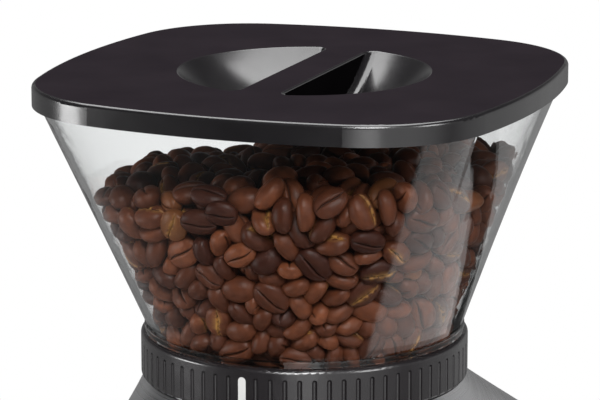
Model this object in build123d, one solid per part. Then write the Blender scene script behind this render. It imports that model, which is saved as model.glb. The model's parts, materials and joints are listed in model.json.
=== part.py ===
from build123d import *
import os
from math import acos, asin, atan2, cos, degrees, pi, radians, sin, tan

# Burr coffee grinder. Millimetres, +Z up, front towards -Y.
# The origin is on the table, under the burr axis.

# Driving dimensions: lid, hopper and ring
RING_H = 14.0
RING_WALL = 2.7
RING_FLANGE = 3.0
RING_EDGE_R = 1.2
RING_LIFT = 0.4  # above the casing, so that it turns freely
GROOVE_COUNT = 72
GROOVE_R = 0.75
PLAIN_BAND = 2.9  # smooth band above the grooves
INDEX_W = 2.4
INDEX_L = 8.0
INDEX_DEPTH = 0.9
LID_HALF = 74.25
LID_CORNER_R = 39.5
LID_BOW = 3.0  # how far each side bows out
LID_H = 6.4
LID_T = 2.2
LID_EDGE_R = 1.2
SKIRT_WALL = 1.85
WELL_R = 38.2  # round recess in the lid
WELL_DEPTH = 16.0
WELL_WALL = 2.0
WELL_CORNER_R = 2.5  # along the foot of the grip bar
WELL_RIM_R = 0.6  # round the top edge of each well
GRIP_BAR_W = 13.5
SEAL_H = 2.8
SEAL_T = 1.6
SEAL_DROP = 1.2  # from the lid plate to the seal
RIB_T = 1.8
HOPPER_H = 73.3  # ring top to lid edge
HOPPER_WALL = 2.4
HOPPER_FOOT_INSET = 1.7  # hopper's foot inside the ring's edge
BEAD_H = 2.0
BEAD_OUT = 0.6
FUNNEL_T = 2.2
GASKET_T = 1.0
GASKET_W = 4.5
GASKET_INSET = 0.5  # gasket outside the flange's bore
THROAT_LAND = 6.5  # foot of the throat, on the gasket
TONGUE_W = 8.0
TONGUE_T = 2.4
TONGUE_L = 2.5
TONGUE_COUNT = 3
TONGUE_INSET = 0.4
GUARD_HUB_R = 9.0
GUARD_T = 2.0
GUARD_SPOKE_W = 3.0
GUARD_SPOKES = 3
GUARD_LIFT = 1.0  # above the foot of the funnel
NECK_STEP = 1.0

# Driving dimensions: body
SHOULDER_SIDE = 10.0  # how far the tower's sides stand out beyond the ring
BODY_CORNER_R = 38.0
CASING_T = 1.0
CASING_NECK_INSET = 1.0  # casing's neck inside the ring's edge
SHOULDER_H = 28.0
SHOULDER_ROUND = 9.0
FOOT_H = 3.0
FOOT_R = 9.0
FOOT_POCKET = 1.5
FOOT_INSET = 26.0
BASE_H = 9.0
BASE_FRONT_R = 46.0
BASE_EDGE_R = 2.0
LIP_H = 4.0
LIP_T = 2.0
VENT_COUNT = 7
VENT_W = 3.0
VENT_L = 40.0
VENT_PITCH = 7.0
VENT_LOWEST = 62.0
GLAND_Z = 28.0
GLAND_R = 6.0
GLAND_FLANGE = 2.5
GLAND_BORE_R = 3.6
GLAND_L = 14.0
GLAND_EDGE_R = 1.0

# Driving dimensions: grounds bin and its bay
BIN_SIDE = 16.0  # side of the casing to the bin: bay wall and screw bosses
BIN_H = 72.0
BIN_FRONT = 84.0
BIN_BACK = 2.0
BIN_WALL = 2.2
BIN_FRONT_R = 24.0
BIN_BACK_R = 10.0
BIN_LID_T = 3.0
BIN_LID_RIM = 5.0
BIN_LID_RIM_T = 1.8
BIN_TAB_W = 30.0
BIN_TAB_L = 4.0
BIN_TAB_R = 3.6
BIN_MOUTH_MARGIN = 4.0
BIN_MOUTH_R = 6.0
BIN_HEADROOM = 3.0
BIN_FLOAT = 0.3
BAY_SIDE_GAP = 0.8
BAY_WALL = 2.5
POST_R = 4.5
POST_BEARING = 35.0  # of the front posts, from the side
POST_AIR = 1.25
POST_SINK = 1.0  # how far a post is merged into the wall beside it
BOSS_FRONT = 24.0
BOSS_BACK = 2.0

# Driving dimensions: controls
FASCIA_W = 84.0
FASCIA_MARGIN = 6.0
FASCIA_R = 12.0
FASCIA_T = 2.2
FASCIA_LAP = 4.0
KNOB_R = 20.0
KNOB_H = 13.0
KNOB_TAPER = 1.0
KNOB_WALL = 2.4
KNOB_RIBS = 36
KNOB_RIB_R = 0.7
KNOB_EDGE_R = 1.5
KNOB_RIB_STOP = 2.0  # plain band at the top of the grip
KNOB_TOP_GAP = 7.0
KNOB_LOW_GAP = 2.95
POINTER_W = 2.0
POINTER_L = 11.0
POINTER_DEPTH = 0.8
POINTER_INSET = 2.5
STEM_R = 3.0
STEM_L = 9.0  # into the knob
STEM_FLOOR = 2.0  # under the stem, in the timer
BUSH_R = 4.5
TIMER_W = 18.0
TIMER_CORNER_R = 1.5
TIMER_AIR = 1.0  # timer body to the fascia's posts
BUTTON_R = 9.0
BUTTON_OUT = 2.6
BUTTON_DOME = 1.0
BUTTON_FLANGE = 1.5
BUTTON_LOW_GAP = 5.0
BUTTON_TRAVEL = 1.5
BUTTON_STEM_R = 3.0
SWITCH_W = 12.0
SWITCH_H = 5.0
SWITCH_CORNER_R = 1.0
SWITCH_PLUNGER_R = 3.0
SWITCH_PLUNGER_H = 1.0
BOARD_W = 62.0
BOARD_T = 1.6
BOARD_STANDOFF = 10.0
BOARD_R = 3.0
BOARD_POST_R = 3.2
BOARD_POST_INSET = 5.0
BOARD_AIR = 1.2  # board to the chute behind it

# Driving dimensions: burrs and grinding chamber, which set the ring's size
THROAT_R = 25.0  # bore of the burr set
CHAMBER_WALL = 5.0
CHAMBER_INSET = 7.0  # ring's outside to the chamber's
CHAMBER_FLANGE = 3.0
EXIT_W = 22.0
EXIT_MARGIN = 0.5  # exit inside the chute's back wall
KEYWAY_DROP = 2.0
SKIRT_T = 2.7
SKIRT_L = 13.0
CARRIER_WALL = 4.3
CARRIER_AIR = 1.7  # carrier to the ring's flange
CARRIER_LIFT = 1.2  # above the foot of the cone
CARRIER_LIP = 4.0
LUG_W = 8.0
LUG_H = 4.5
LUG_REACH = 1.8
RING_BURR_WALL = 5.4
RING_BURR_FOOT = 0.2  # bore beyond the throat, at the foot
RING_BURR_MOUTH = 1.2  # and at the top
BURR_SCREWS = 3
BURR_SCREW_EDGE = 0.9
FLANGE_BORE_STEP = 1.5
BURR_GAP = 1.0
RING_BURR_TEETH = 40
CONE_H = 23.0
CONE_FINE_H = 9.0
CONE_FINE_SLOPE = 1.4
CONE_TOP_R = 9.0
CONE_FLUTES = 6
CONE_TEETH = 36
FLUTE_R = 5.0
FLUTE_DEPTH = 2.4
FLUTE_LEAN = 32.0
FLUTE_RUNOUT = 3.0  # into the fine teeth
TOOTH_CUT = 1.3
TOOTH_LEAN = 22.0
NUT_R = 6.5
NUT_H = 4.5
NUT_WASHER_T = 1.0
NUT_WASHER_OUT = 0.65
SWEEPER_T = 2.4
SWEEPER_VANE_H = 2.6
SWEEPER_VANE_T = 2.4
SWEEPER_VANES = 4
SWEEPER_HUB_R = 10.0
SWEEPER_AIR = 2.0  # to the chamber's wall
SWEEPER_VANE_AIR = 1.0  # vane to the cone
SEAL_POCKET = 1.8
DUST_SEAL_R = 8.0

# Driving dimensions: gear train and motor
GEAR_MODULE_MOTOR = 1.0
GEAR_MODULE_BURR = 1.25
PINION_TEETH = 14
IDLER_TEETH = 42
MAIN_TEETH = 36
ADDENDUM = 0.8
DEDENDUM = 1.1
PRESSURE_ANGLE = 20.0
BACKLASH = 0.15
MAIN_GEAR_W = 10.0
IDLER_GEAR_W = 6.0
GEAR_STEP = 1.2  # between the two gear levels
SHAFT_R = 4.0
PIN_R = 3.0
PIN_FLOOR = 1.0
GEAR_RIM = 3.0
GEAR_HUB = 4.0
SHAFT_AIR = 1.0  # round a shaft that passes through a cover
BEARING_R = 11.0
BEARING_W = 7.0
BEARING_WALL = 2.5
OUTER_RACE = 1.76
INNER_RACE = 2.0
SHIELD_INSET = 0.4
GEARBOX_WALL = 2.5
GEARBOX_FLOOR = 4.0
GEARBOX_COVER = 3.0
GEAR_SIDE_GAP = 1.2
EAR_R = 5.0
EAR_FRONT = 8.0
EAR_BACK = 52.0
MOTOR_R = 25.0
MOTOR_L = 70.0
MOTOR_AIR = 3.75  # motor to the back of the casing
MOTOR_EDGE_R = 2.0
ENDBELL_H = 6.0
ENDBELL_INSET = 1.0
ENDBELL_EDGE_R = 1.5
BRUSH_W = 8.0
BRUSH_L = 9.0
BRUSH_DROP = 3.0
BRUSH_SINK = 1.0
BRUSH_INSET = 10.0  # from the side of the motor
MOTOR_SHAFT_R = 2.5
MOTOR_SHAFT_HOLE_R = 5.0
FAN_H = 8.0
FAN_BLADES = 9
FAN_BLADE_T = 1.2
FAN_HUB_R = 6.0
FAN_INSET = 2.0  # inside the motor's radius
FAN_PLATE = 1.2
FAN_BLADE_SINK = 0.5
FAN_GAP = 4.0  # under the end bell
CHUTE_W = 26.0
CHUTE_L = 14.0
CHUTE_WALL = 1.8
CHUTE_FLANGE = 3.0
CHUTE_AIR = 1.0  # chute to the gearbox

# Driving dimensions: screws
LONG_SCREW_R = 2.0
LONG_SCREW_BITE = 4.0
SMALL_SCREW_R = 1.5
BOARD_SCREW_R = 1.1
HEAD_RATIO = 1.75
SOCKET_RATIO = 0.8
BOARD_SCREW_L = 6.0
BURR_SCREW_L = 9.0
MOTOR_SCREW_L = 8.0
POST_SCREW_L = 12.0
BASE_SCREW_L = 16.0

# Clearances
RUN = 0.3  # between faces that slide or turn on different bodies
FIT = 0.03  # a shaft in its bore
SEAT = 0.2  # round a piece that is dropped into its place
SCREW_GAP = 0.1
NEAR = 0.01  # for finding edges at a height
OVER = 1.0  # how far a cutter runs past the face that it opens
BIG = 400.0  # reach of a cutter that is open on one side

# Places along the drive: burr axis at y = 0, idler and motor behind it
MODULE_SUM_BURR = GEAR_MODULE_BURR * (MAIN_TEETH + PINION_TEETH)
MODULE_SUM_MOTOR = GEAR_MODULE_MOTOR * (IDLER_TEETH + PINION_TEETH)
IDLER_Y = MODULE_SUM_BURR / 2
MOTOR_Y = IDLER_Y + MODULE_SUM_MOTOR / 2
BODY_BACK = MOTOR_Y + MOTOR_R + MOTOR_AIR
BASE_FRONT = BODY_BACK + GLAND_FLANGE  # so the burr axis stands midway between front and back

# Radii about the burr axis, from the burrs out to the casing
RING_BURR_R = THROAT_R + RING_BURR_WALL
CARRIER_R = RING_BURR_R + CARRIER_WALL
SKIRT_BORE_R = CARRIER_R + RUN
SKIRT_R = SKIRT_BORE_R + SKIRT_T
CHAMBER_BORE_R = SKIRT_R + RUN
CHAMBER_R = CHAMBER_BORE_R + CHAMBER_WALL
RING_R = CHAMBER_R + CHAMBER_INSET
RING_BORE_R = RING_R - RING_WALL
NECK_R = RING_BORE_R - RUN
CONE_R = THROAT_R - BURR_GAP
SWEEPER_R = CHAMBER_BORE_R - SWEEPER_AIR
FLANGE_BORE_R = THROAT_R + FLANGE_BORE_STEP
TONGUE_R = NECK_R - TONGUE_T / 2 - TONGUE_INSET
HOPPER_FOOT_R = RING_R - HOPPER_FOOT_INSET
HOPPER_HALF = LID_HALF - SKIRT_WALL - SEAT * 2
CASING_NECK_R = RING_R - CASING_NECK_INSET
BODY_W = 2 * (RING_R + SHOULDER_SIDE)
BIN_W = BODY_W - 2 * BIN_SIDE

# Depths behind the front face
FASCIA_BACK = CASING_T + SEAT + FASCIA_T
BOARD_DEPTH = FASCIA_BACK + BOARD_STANDOFF

# The chute stands in front of the gearbox, under the exit of the chamber, and the board in front of the chute
MAIN_TIP_R = GEAR_MODULE_BURR * (MAIN_TEETH / 2 + ADDENDUM)
IDLER_TIP_R = GEAR_MODULE_MOTOR * (IDLER_TEETH / 2 + ADDENDUM)
GEARBOX_R = max(MAIN_TIP_R, IDLER_TIP_R) + GEAR_SIDE_GAP + GEARBOX_WALL
CHUTE_BACK = GEARBOX_R + CHUTE_AIR + CHUTE_WALL
CHUTE_Y = -(CHUTE_BACK + CHUTE_L / 2)
EXIT_L = CHAMBER_BORE_R - CHUTE_BACK - EXIT_MARGIN
EXIT_Y = -(CHAMBER_BORE_R - EXIT_L / 2)
BODY_FRONT = CHUTE_BACK + CHUTE_L + CHUTE_WALL + BOARD_AIR + BOARD_T + BOARD_DEPTH

# Heights, from the table up
BASE_TOP = FOOT_H + BASE_H
BIN_Z = BASE_TOP + BIN_FLOAT
BAY_TOP = BIN_Z + BIN_H + BIN_LID_T + BIN_HEADROOM
FASCIA_LOW = BAY_TOP + BAY_WALL + FASCIA_MARGIN
BUTTON_Z = FASCIA_LOW + BUTTON_LOW_GAP + BUTTON_R
KNOB_Z = BUTTON_Z + BUTTON_R + KNOB_LOW_GAP + KNOB_R
FASCIA_HIGH = KNOB_Z + KNOB_R + KNOB_TOP_GAP
FASCIA_MID = (FASCIA_LOW + FASCIA_HIGH) / 2
SHOULDER_Z = FASCIA_HIGH + FASCIA_MARGIN
CASING_TOP = SHOULDER_Z + SHOULDER_H
RING_Z = CASING_TOP + RING_LIFT
RING_FLANGE_TOP = RING_Z + RING_FLANGE
NECK_Z = RING_FLANGE_TOP + GASKET_T
RING_TOP = RING_Z + RING_H
LID_EDGE_Z = RING_TOP + HOPPER_H
LID_TOP = LID_EDGE_Z + LID_H

# Heights of the drive, from the burrs down to the motor
CONE_Z = CASING_TOP - CONE_H
SHAFT_TOP = CASING_TOP + NUT_H
SWEEPER_Z = CONE_Z - SWEEPER_VANE_H - SWEEPER_T
CHAMBER_FLOOR = SWEEPER_Z - RUN * 2
CHAMBER_Z = CHAMBER_FLOOR - SEAL_POCKET - BEARING_W
COVER_Z = CHAMBER_Z - GEARBOX_COVER
IDLER_GEAR_Z = COVER_Z - GEAR_STEP - IDLER_GEAR_W
MAIN_GEAR_Z = IDLER_GEAR_Z - GEAR_STEP - MAIN_GEAR_W
LOWER_BEARING_Z = MAIN_GEAR_Z - GEAR_STEP - BEARING_W
FLOOR_Z = LOWER_BEARING_Z + BEARING_WALL / 2
DECK_Z = FLOOR_Z - GEARBOX_FLOOR
MOTOR_Z = DECK_Z - MOTOR_L
FAN_TOP = MOTOR_Z - ENDBELL_H - FAN_GAP
CARRIER_Z = CONE_Z + CARRIER_LIFT
CARRIER_H = RING_Z - CARRIER_AIR - CARRIER_Z
RING_BURR_H = CARRIER_H - CARRIER_LIP

# Screw and post places
EAR_X = max(GEARBOX_R + EAR_R / 2, MOTOR_R + LONG_SCREW_R * HEAD_RATIO + SEAT)
BAY_HALF = BIN_W / 2 + BAY_SIDE_GAP
BAY_BACK = BIN_BACK + BAY_SIDE_GAP
BOSS_X = BAY_HALF + BAY_WALL + POST_R - POST_SINK
POST_BACK = BAY_BACK + BAY_WALL + POST_R - POST_SINK
EARS = [(x, y) for x in (-EAR_X, EAR_X) for y in (EAR_FRONT, EAR_BACK)]
POST_REACH = GEARBOX_R - GEARBOX_WALL - SMALL_SCREW_R * HEAD_RATIO - POST_AIR
POST_X = POST_REACH * cos(radians(POST_BEARING))
POST_FRONT = -POST_REACH * sin(radians(POST_BEARING))
POSTS = [(x, y) for x in (-POST_X, POST_X) for y in (POST_FRONT, POST_BACK)]
BOSSES = [(x, y) for x in (-BOSS_X, BOSS_X) for y in (-BOSS_FRONT, -BOSS_BACK)]
MOTOR_HOLES = [(x, MOTOR_Y) for x in (-MOTOR_R / 2, MOTOR_R / 2)]

# The front face of the tower: local x to the right, y up, z outwards
FRONT = Plane(origin=(0, -BODY_FRONT, 0), x_dir=(1, 0, 0), z_dir=(0, -1, 0))
BACK = Plane(origin=(0, BODY_BACK, 0), x_dir=(-1, 0, 0), z_dir=(0, 1, 0))


# Outlines and small helpers

def bowed_square(half, corner_r, bow):
    """Edges of a square with round corners and sides that bow out, in order."""
    corner = half - corner_r - bow
    side_r = (corner**2 + bow**2) / (2 * bow)
    lean = degrees(asin(corner / side_r))
    edges = []
    for turn in range(0, 360, 90):
        side = CenterArc((half - corner_r - side_r, 0), side_r + corner_r, -lean, 2 * lean)
        round_corner = CenterArc((corner, corner), corner_r, lean, 90 - 2 * lean)
        edges += [Rot(0, 0, turn) * side, Rot(0, 0, turn) * round_corner]
    return edges


def lid_outline(inset):
    """The lid's outline, drawn in by the given amount."""
    return bowed_square(LID_HALF - inset, LID_CORNER_R - inset, LID_BOW)


def round_rect(half_w, front, back, front_r, back_r):
    """Edges of a rectangle about x = 0 with its own front and back corner radii, in order."""
    right_front = (half_w, -front + front_r)
    right_back = (half_w, back - back_r)
    return [
        Line(right_front, right_back),
        CenterArc((half_w - back_r, back - back_r), back_r, 0, 90),
        Line((half_w - back_r, back), (back_r - half_w, back)),
        CenterArc((back_r - half_w, back - back_r), back_r, 90, 90),
        Line((-half_w, back - back_r), (-half_w, -front + front_r)),
        CenterArc((front_r - half_w, front_r - front), front_r, 180, 90),
        Line((front_r - half_w, -front), (half_w - front_r, -front)),
        CenterArc((half_w - front_r, front_r - front), front_r, 270, 90),
    ]


def body_outline(inset):
    corner = BODY_CORNER_R - inset
    return round_rect(BODY_W / 2 - inset, BODY_FRONT - inset, BODY_BACK - inset, corner, corner)


def base_outline(inset):
    front_r = BASE_FRONT_R - inset
    back_r = BODY_CORNER_R - inset
    return round_rect(BODY_W / 2 - inset, BASE_FRONT - inset, BODY_BACK - inset, front_r, back_r)


def bin_outline(inset):
    front_r = BIN_FRONT_R - inset
    back_r = BIN_BACK_R - inset
    return round_rect(BIN_W / 2 - inset, BIN_FRONT - inset, BIN_BACK - inset, front_r, back_r)


def matching_circle(radius, outline):
    """A circle in as many arcs as the outline has edges, cut at the same bearings."""
    bearings = [degrees(atan2((edge @ 0).Y, (edge @ 0).X)) for edge in outline]
    following = bearings[1:] + bearings[:1]
    return [CenterArc((0, 0), radius, a, (b - a) % 360) for a, b in zip(bearings, following)]


def prism(outline, low, high):
    return extrude(Pos(0, 0, low) * make_face(outline), high - low, dir=(0, 0, 1))


def blend_loft(lower, low, upper, high):
    """Straight-sided loft between two outlines with matching edges."""
    return loft([Pos(0, 0, low) * make_face(lower), Pos(0, 0, high) * make_face(upper)], ruled=True)


def disc(radius, low, high, x=0.0, y=0.0):
    return Pos(x, y, low) * Cylinder(radius, high - low, align=(Align.CENTER, Align.CENTER, Align.MIN))


def tube(radius, bore, low, high):
    return disc(radius, low, high) - disc(bore, low - OVER, high + OVER)


def block(width, depth, low, high, x=0.0, y=0.0):
    return Pos(x, y, low) * Box(width, depth, high - low, align=(Align.CENTER, Align.CENTER, Align.MIN))


def spin_profile(points):
    """Solid of revolution about the burr axis from (radius, height) corners."""
    outline = Polyline([(r, 0, z) for r, z in points], close=True)
    return revolve(make_face(outline), Axis.Z)


def around(shape, count, first=0.0):
    """Copies of a shape, evenly turned about the burr axis."""
    return [Rot(0, 0, first + 360 / count * i) * shape for i in range(count)]


def screw(radius, length, head_h):
    """A pan-head screw, pointing down, with its head standing on z = 0."""
    head = disc(radius * HEAD_RATIO, 0, head_h)
    socket = extrude(Pos(0, 0, head_h / 2) * RegularPolygon(radius * SOCKET_RATIO, 6), head_h)
    return head - socket + disc(radius, -length, 0)


def group(shapes):
    """Separate solids that share one node."""
    return Compound(children=list(shapes))


def involute_gear(module, teeth, tooth_bearing):
    """Gear outline with one tooth centred on the given bearing, thinned for backlash."""
    pitch_r = module * teeth / 2
    base_r = pitch_r * cos(radians(PRESSURE_ANGLE))
    tip_r = pitch_r + ADDENDUM * module
    root_r = pitch_r - DEDENDUM * module
    half_pitch = pi / (2 * teeth) - BACKLASH / (2 * pitch_r)

    def involute(radius):
        angle = acos(min(1.0, base_r / radius))
        return tan(angle) - angle

    start_r = max(base_r, root_r)
    flank = [root_r, start_r, (start_r + pitch_r) / 2, pitch_r, tip_r]
    if start_r == root_r:
        flank = flank[1:]
    halves = [(r, half_pitch + involute(pitch_r) - involute(r)) for r in flank]
    points = []
    for i in range(teeth):
        middle = radians(tooth_bearing) + 2 * pi * i / teeth
        for r, half in halves:
            points.append((r * cos(middle - half), r * sin(middle - half)))
        for r, half in reversed(halves):
            points.append((r * cos(middle + half), r * sin(middle + half)))
    return make_face(Polyline(points, close=True))


def gear_wheel(module, teeth, tooth_bearing, low, width, bore_r):
    wheel = extrude(involute_gear(module, teeth, tooth_bearing), width)
    return Pos(0, 0, low) * (wheel - disc(bore_r, -OVER, width + OVER))


# Base and casing

def make_base_plate():
    plate = prism(base_outline(0), FOOT_H, BASE_TOP)
    top_edges = plate.edges().group_by(Axis.Z)[-1]
    plate = fillet(top_edges, BASE_EDGE_R)
    lip_inset = CASING_T + RUN
    lip = prism(body_outline(lip_inset), BASE_TOP, BASE_TOP + LIP_H)
    lip -= prism(body_outline(lip_inset + LIP_T), BASE_TOP - OVER, BASE_TOP + LIP_H + OVER)
    lip_front = BAY_BACK + BAY_WALL + SEAT
    lip -= block(BIG, BIG, BASE_TOP - OVER, BASE_TOP + LIP_H + OVER, y=lip_front - BIG / 2)
    plate += lip
    for x, y in foot_places():
        plate -= disc(FOOT_R + SEAT, FOOT_H - OVER, FOOT_H + FOOT_POCKET, x, y)
    slot = SlotOverall(VENT_L, VENT_W)
    for i in range(VENT_COUNT):
        y = MOTOR_Y + VENT_PITCH * (i - (VENT_COUNT - 1) / 2)
        plate -= extrude(Pos(0, y, FOOT_H - OVER) * slot, BASE_H + 2 * OVER)
    for x, y in BOSSES:
        plate -= disc(LONG_SCREW_R + SCREW_GAP, FOOT_H - OVER, BASE_TOP + OVER, x, y)
        plate -= disc(LONG_SCREW_R * HEAD_RATIO + SEAT, FOOT_H - OVER, FOOT_H + BASE_H / 2, x, y)
    return plate


def foot_places():
    x = BODY_W / 2 - FOOT_INSET
    return [(sx * x, y) for sx in (-1, 1) for y in (FOOT_INSET - BASE_FRONT, BODY_BACK - FOOT_INSET)]


def make_rubber_feet():
    foot = disc(FOOT_R, 0, FOOT_H + FOOT_POCKET)
    foot = fillet(foot.edges().group_by(Axis.Z)[0], FOOT_H / 3)
    return group(Pos(x, y, 0) * foot for x, y in foot_places())


def make_base_screws():
    head_h = LONG_SCREW_R
    piece = Pos(0, 0, FOOT_H + BASE_H / 2) * Rot(180, 0, 0) * screw(LONG_SCREW_R, BASE_SCREW_L, head_h)
    return group(Pos(x, y, 0) * piece for x, y in BOSSES)


def casing_form(inset, low, top):
    """Tower and shoulder as one solid, drawn in by the wall."""
    outline = body_outline(inset)
    tower = prism(outline, low, SHOULDER_Z)
    shoulder = blend_loft(outline, SHOULDER_Z, matching_circle(CASING_NECK_R - inset, outline), top)
    form = tower + shoulder
    bend = form.edges().filter_by_position(Axis.Z, SHOULDER_Z - NEAR, SHOULDER_Z + NEAR)
    return fillet(bend, SHOULDER_ROUND - inset)


def front_window(grow, depth):
    """Prism through the front face, as large as the fascia plus a margin."""
    height = FASCIA_HIGH - FASCIA_LOW
    opening = RectangleRounded(FASCIA_W + 2 * grow, height + 2 * grow, FASCIA_R + grow)
    return extrude(FRONT * Pos(0, FASCIA_MID, -depth) * opening, depth + OVER)


def bay_mouth(grow):
    half = BAY_HALF + BAY_WALL + grow
    return block(2 * half, BIG, BASE_TOP - OVER, BAY_TOP + BAY_WALL + grow, y=-BIG / 2)


def make_steel_casing():
    shell = casing_form(0, BASE_TOP, CASING_TOP)
    shell -= casing_form(CASING_T, BASE_TOP - OVER, CASING_TOP - CASING_T)
    shell -= disc(CHAMBER_R + RUN, CASING_TOP - CASING_T - OVER, CASING_TOP + OVER)
    shell -= front_window(SEAT, BODY_FRONT / 2)
    shell -= bay_mouth(SEAT)
    wall_cut = CASING_T + 2 * OVER
    slot = SlotOverall(VENT_L, VENT_W)
    for i in range(VENT_COUNT):
        shell -= extrude(BACK * Pos(0, VENT_LOWEST + VENT_PITCH * i, OVER - wall_cut) * slot, wall_cut)
    shell -= extrude(BACK * Pos(0, GLAND_Z, OVER - wall_cut) * Circle(GLAND_R + SEAT), wall_cut)
    return shell


def make_cord_gland():
    """Grommet in the back wall, with an empty bore for a mains lead."""
    flange_r = GLAND_R + GLAND_FLANGE
    inner_face = -CASING_T - SEAT
    outside = disc(flange_r, 0, GLAND_FLANGE)
    outside = fillet(outside.edges().group_by(Axis.Z)[-1], GLAND_EDGE_R)
    inside = disc(flange_r, inner_face - GLAND_FLANGE, inner_face)
    neck = disc(GLAND_R, GLAND_FLANGE - GLAND_L, 0)
    bore = disc(GLAND_BORE_R, -GLAND_L, GLAND_L)
    return BACK * Pos(0, GLAND_Z, 0) * (outside + inside + neck - bore)


# Bay, bin and chute

def make_bin_bay():
    """Liner round the bin: two sides, a back and a ceiling that carries the gearbox."""
    outer_half = BAY_HALF + BAY_WALL
    back = BAY_BACK + BAY_WALL
    liner = block(2 * outer_half, BIG, BASE_TOP, BAY_TOP + BAY_WALL, y=back - BIG / 2)
    liner -= block(2 * BAY_HALF, BIG, BASE_TOP - OVER, BAY_TOP, y=BAY_BACK - BIG / 2)
    liner = liner & prism(body_outline(0), BASE_TOP, BAY_TOP + BAY_WALL)
    for x, y in BOSSES:
        boss = disc(POST_R, BASE_TOP, BASE_TOP + BASE_SCREW_L, x, y)
        liner += boss - block(2 * BAY_HALF, BIG, BASE_TOP - OVER, BAY_TOP)
        liner -= disc(LONG_SCREW_R + SCREW_GAP, BASE_TOP - OVER, BASE_TOP + BASE_SCREW_L - OVER, x, y)
    for x, y in POSTS:
        foot = BASE_TOP if y == POST_BACK else BAY_TOP
        liner += disc(POST_R, foot, DECK_Z, x, y)
        liner -= disc(SMALL_SCREW_R + SCREW_GAP, DECK_Z - POST_SCREW_L, DECK_Z + OVER, x, y)
    mouth_w = CHUTE_W + 2 * (CHUTE_WALL + SEAT)
    mouth_l = CHUTE_L + 2 * (CHUTE_WALL + SEAT)
    liner -= block(mouth_w, mouth_l, BAY_TOP - OVER, BAY_TOP + BAY_WALL + OVER, y=CHUTE_Y)
    return liner


def make_grounds_bin():
    top = BIN_Z + BIN_H
    body = prism(bin_outline(0), BIN_Z, top)
    body = fillet(body.edges().group_by(Axis.Z)[0], BIN_WALL)
    return body - prism(bin_outline(BIN_WALL), BIN_Z + BIN_WALL, top + OVER)


def make_bin_lid():
    """Bin lid with a rim inside the bin, a thumb tab and a mouth under the chute."""
    low = BIN_Z + BIN_H
    plate = prism(bin_outline(0), low, low + BIN_LID_T)
    tab = block(BIN_TAB_W, 2 * BIN_TAB_L, low, low + BIN_LID_T, y=-BIN_FRONT)
    tab = fillet(tab.edges().filter_by(Axis.Z).group_by(Axis.Y)[0], BIN_TAB_R)
    plate += tab
    plate = fillet(plate.edges().group_by(Axis.Z)[-1], BIN_LID_T / 3)
    rim_inset = BIN_WALL + SEAT
    rim = prism(bin_outline(rim_inset), low - BIN_LID_RIM, low)
    rim -= prism(bin_outline(rim_inset + BIN_LID_RIM_T), low - BIN_LID_RIM - OVER, low + OVER)
    mouth_w = CHUTE_W + 2 * BIN_MOUTH_MARGIN
    mouth_l = CHUTE_L + 2 * BIN_MOUTH_MARGIN
    mouth = RectangleRounded(mouth_w, mouth_l, BIN_MOUTH_R)
    return plate + rim - extrude(Pos(0, CHUTE_Y, low - OVER) * mouth, BIN_LID_T + 2 * OVER)


def make_chute():
    low = BAY_TOP
    outer_w = CHUTE_W + 2 * CHUTE_WALL
    outer_l = CHUTE_L + 2 * CHUTE_WALL
    seat = BAY_TOP + BAY_WALL
    duct = block(outer_w, outer_l, low, CHAMBER_Z, y=CHUTE_Y)
    duct = fillet(duct.edges().filter_by(Axis.Z), CHUTE_WALL)
    flange_w = outer_w + 2 * CHUTE_FLANGE
    flange_l = outer_l + CHUTE_FLANGE
    duct += block(flange_w, flange_l, seat, seat + CHUTE_WALL, y=CHUTE_Y - CHUTE_FLANGE / 2)
    return duct - block(CHUTE_W, CHUTE_L, low - OVER, CHAMBER_Z + OVER, y=CHUTE_Y)


# Front controls

def make_fascia():
    """Curved front panel: a flush face in the casing's window and a flange behind it."""
    low = FASCIA_LOW - FASCIA_LAP
    high = FASCIA_HIGH + FASCIA_LAP
    inside = prism(body_outline(FASCIA_BACK), low - OVER, high + OVER)
    face = prism(body_outline(0), low, high) - inside
    lap = prism(body_outline(CASING_T + SEAT), low, high) - inside
    depth = BODY_FRONT / 2
    panel = (face & front_window(0, depth)) + (lap & front_window(FASCIA_LAP, depth))
    post = disc(BOARD_POST_R, 0, BOARD_STANDOFF + FASCIA_T / 2)
    post_hole = disc(BOARD_SCREW_R + SCREW_GAP, -OVER, BOARD_SCREW_L)
    panel += [FRONT * Pos(x, z, -BOARD_DEPTH) * post for x, z in board_posts()]
    panel -= [FRONT * Pos(x, z, -BOARD_DEPTH) * post_hole for x, z in board_posts()]
    panel -= FRONT * Pos(0, KNOB_Z, 0) * disc(BUSH_R + SEAT, -BOARD_DEPTH, OVER)
    return panel - FRONT * Pos(0, BUTTON_Z, 0) * disc(BUTTON_R + RUN, -BOARD_DEPTH, OVER)


def board_posts():
    x = BOARD_W / 2 - BOARD_POST_INSET
    low = FASCIA_LOW + BOARD_POST_INSET
    high = FASCIA_HIGH - BOARD_POST_INSET
    return [(sx * x, z) for sx in (-1, 1) for z in (low, high)]


def make_control_board():
    outline = RectangleRounded(BOARD_W, FASCIA_HIGH - FASCIA_LOW, BOARD_R)
    board = extrude(FRONT * Pos(0, FASCIA_MID, -BOARD_DEPTH - BOARD_T) * outline, BOARD_T)
    hole = disc(BOARD_SCREW_R + SCREW_GAP, -BOARD_T - OVER, OVER)
    return board - [FRONT * Pos(x, z, -BOARD_DEPTH) * hole for x, z in board_posts()]


def make_board_screws():
    piece = Rot(180, 0, 0) * screw(BOARD_SCREW_R, BOARD_SCREW_L, BOARD_SCREW_R)
    return group(FRONT * Pos(x, z, -BOARD_DEPTH - BOARD_T) * piece for x, z in board_posts())


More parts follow.
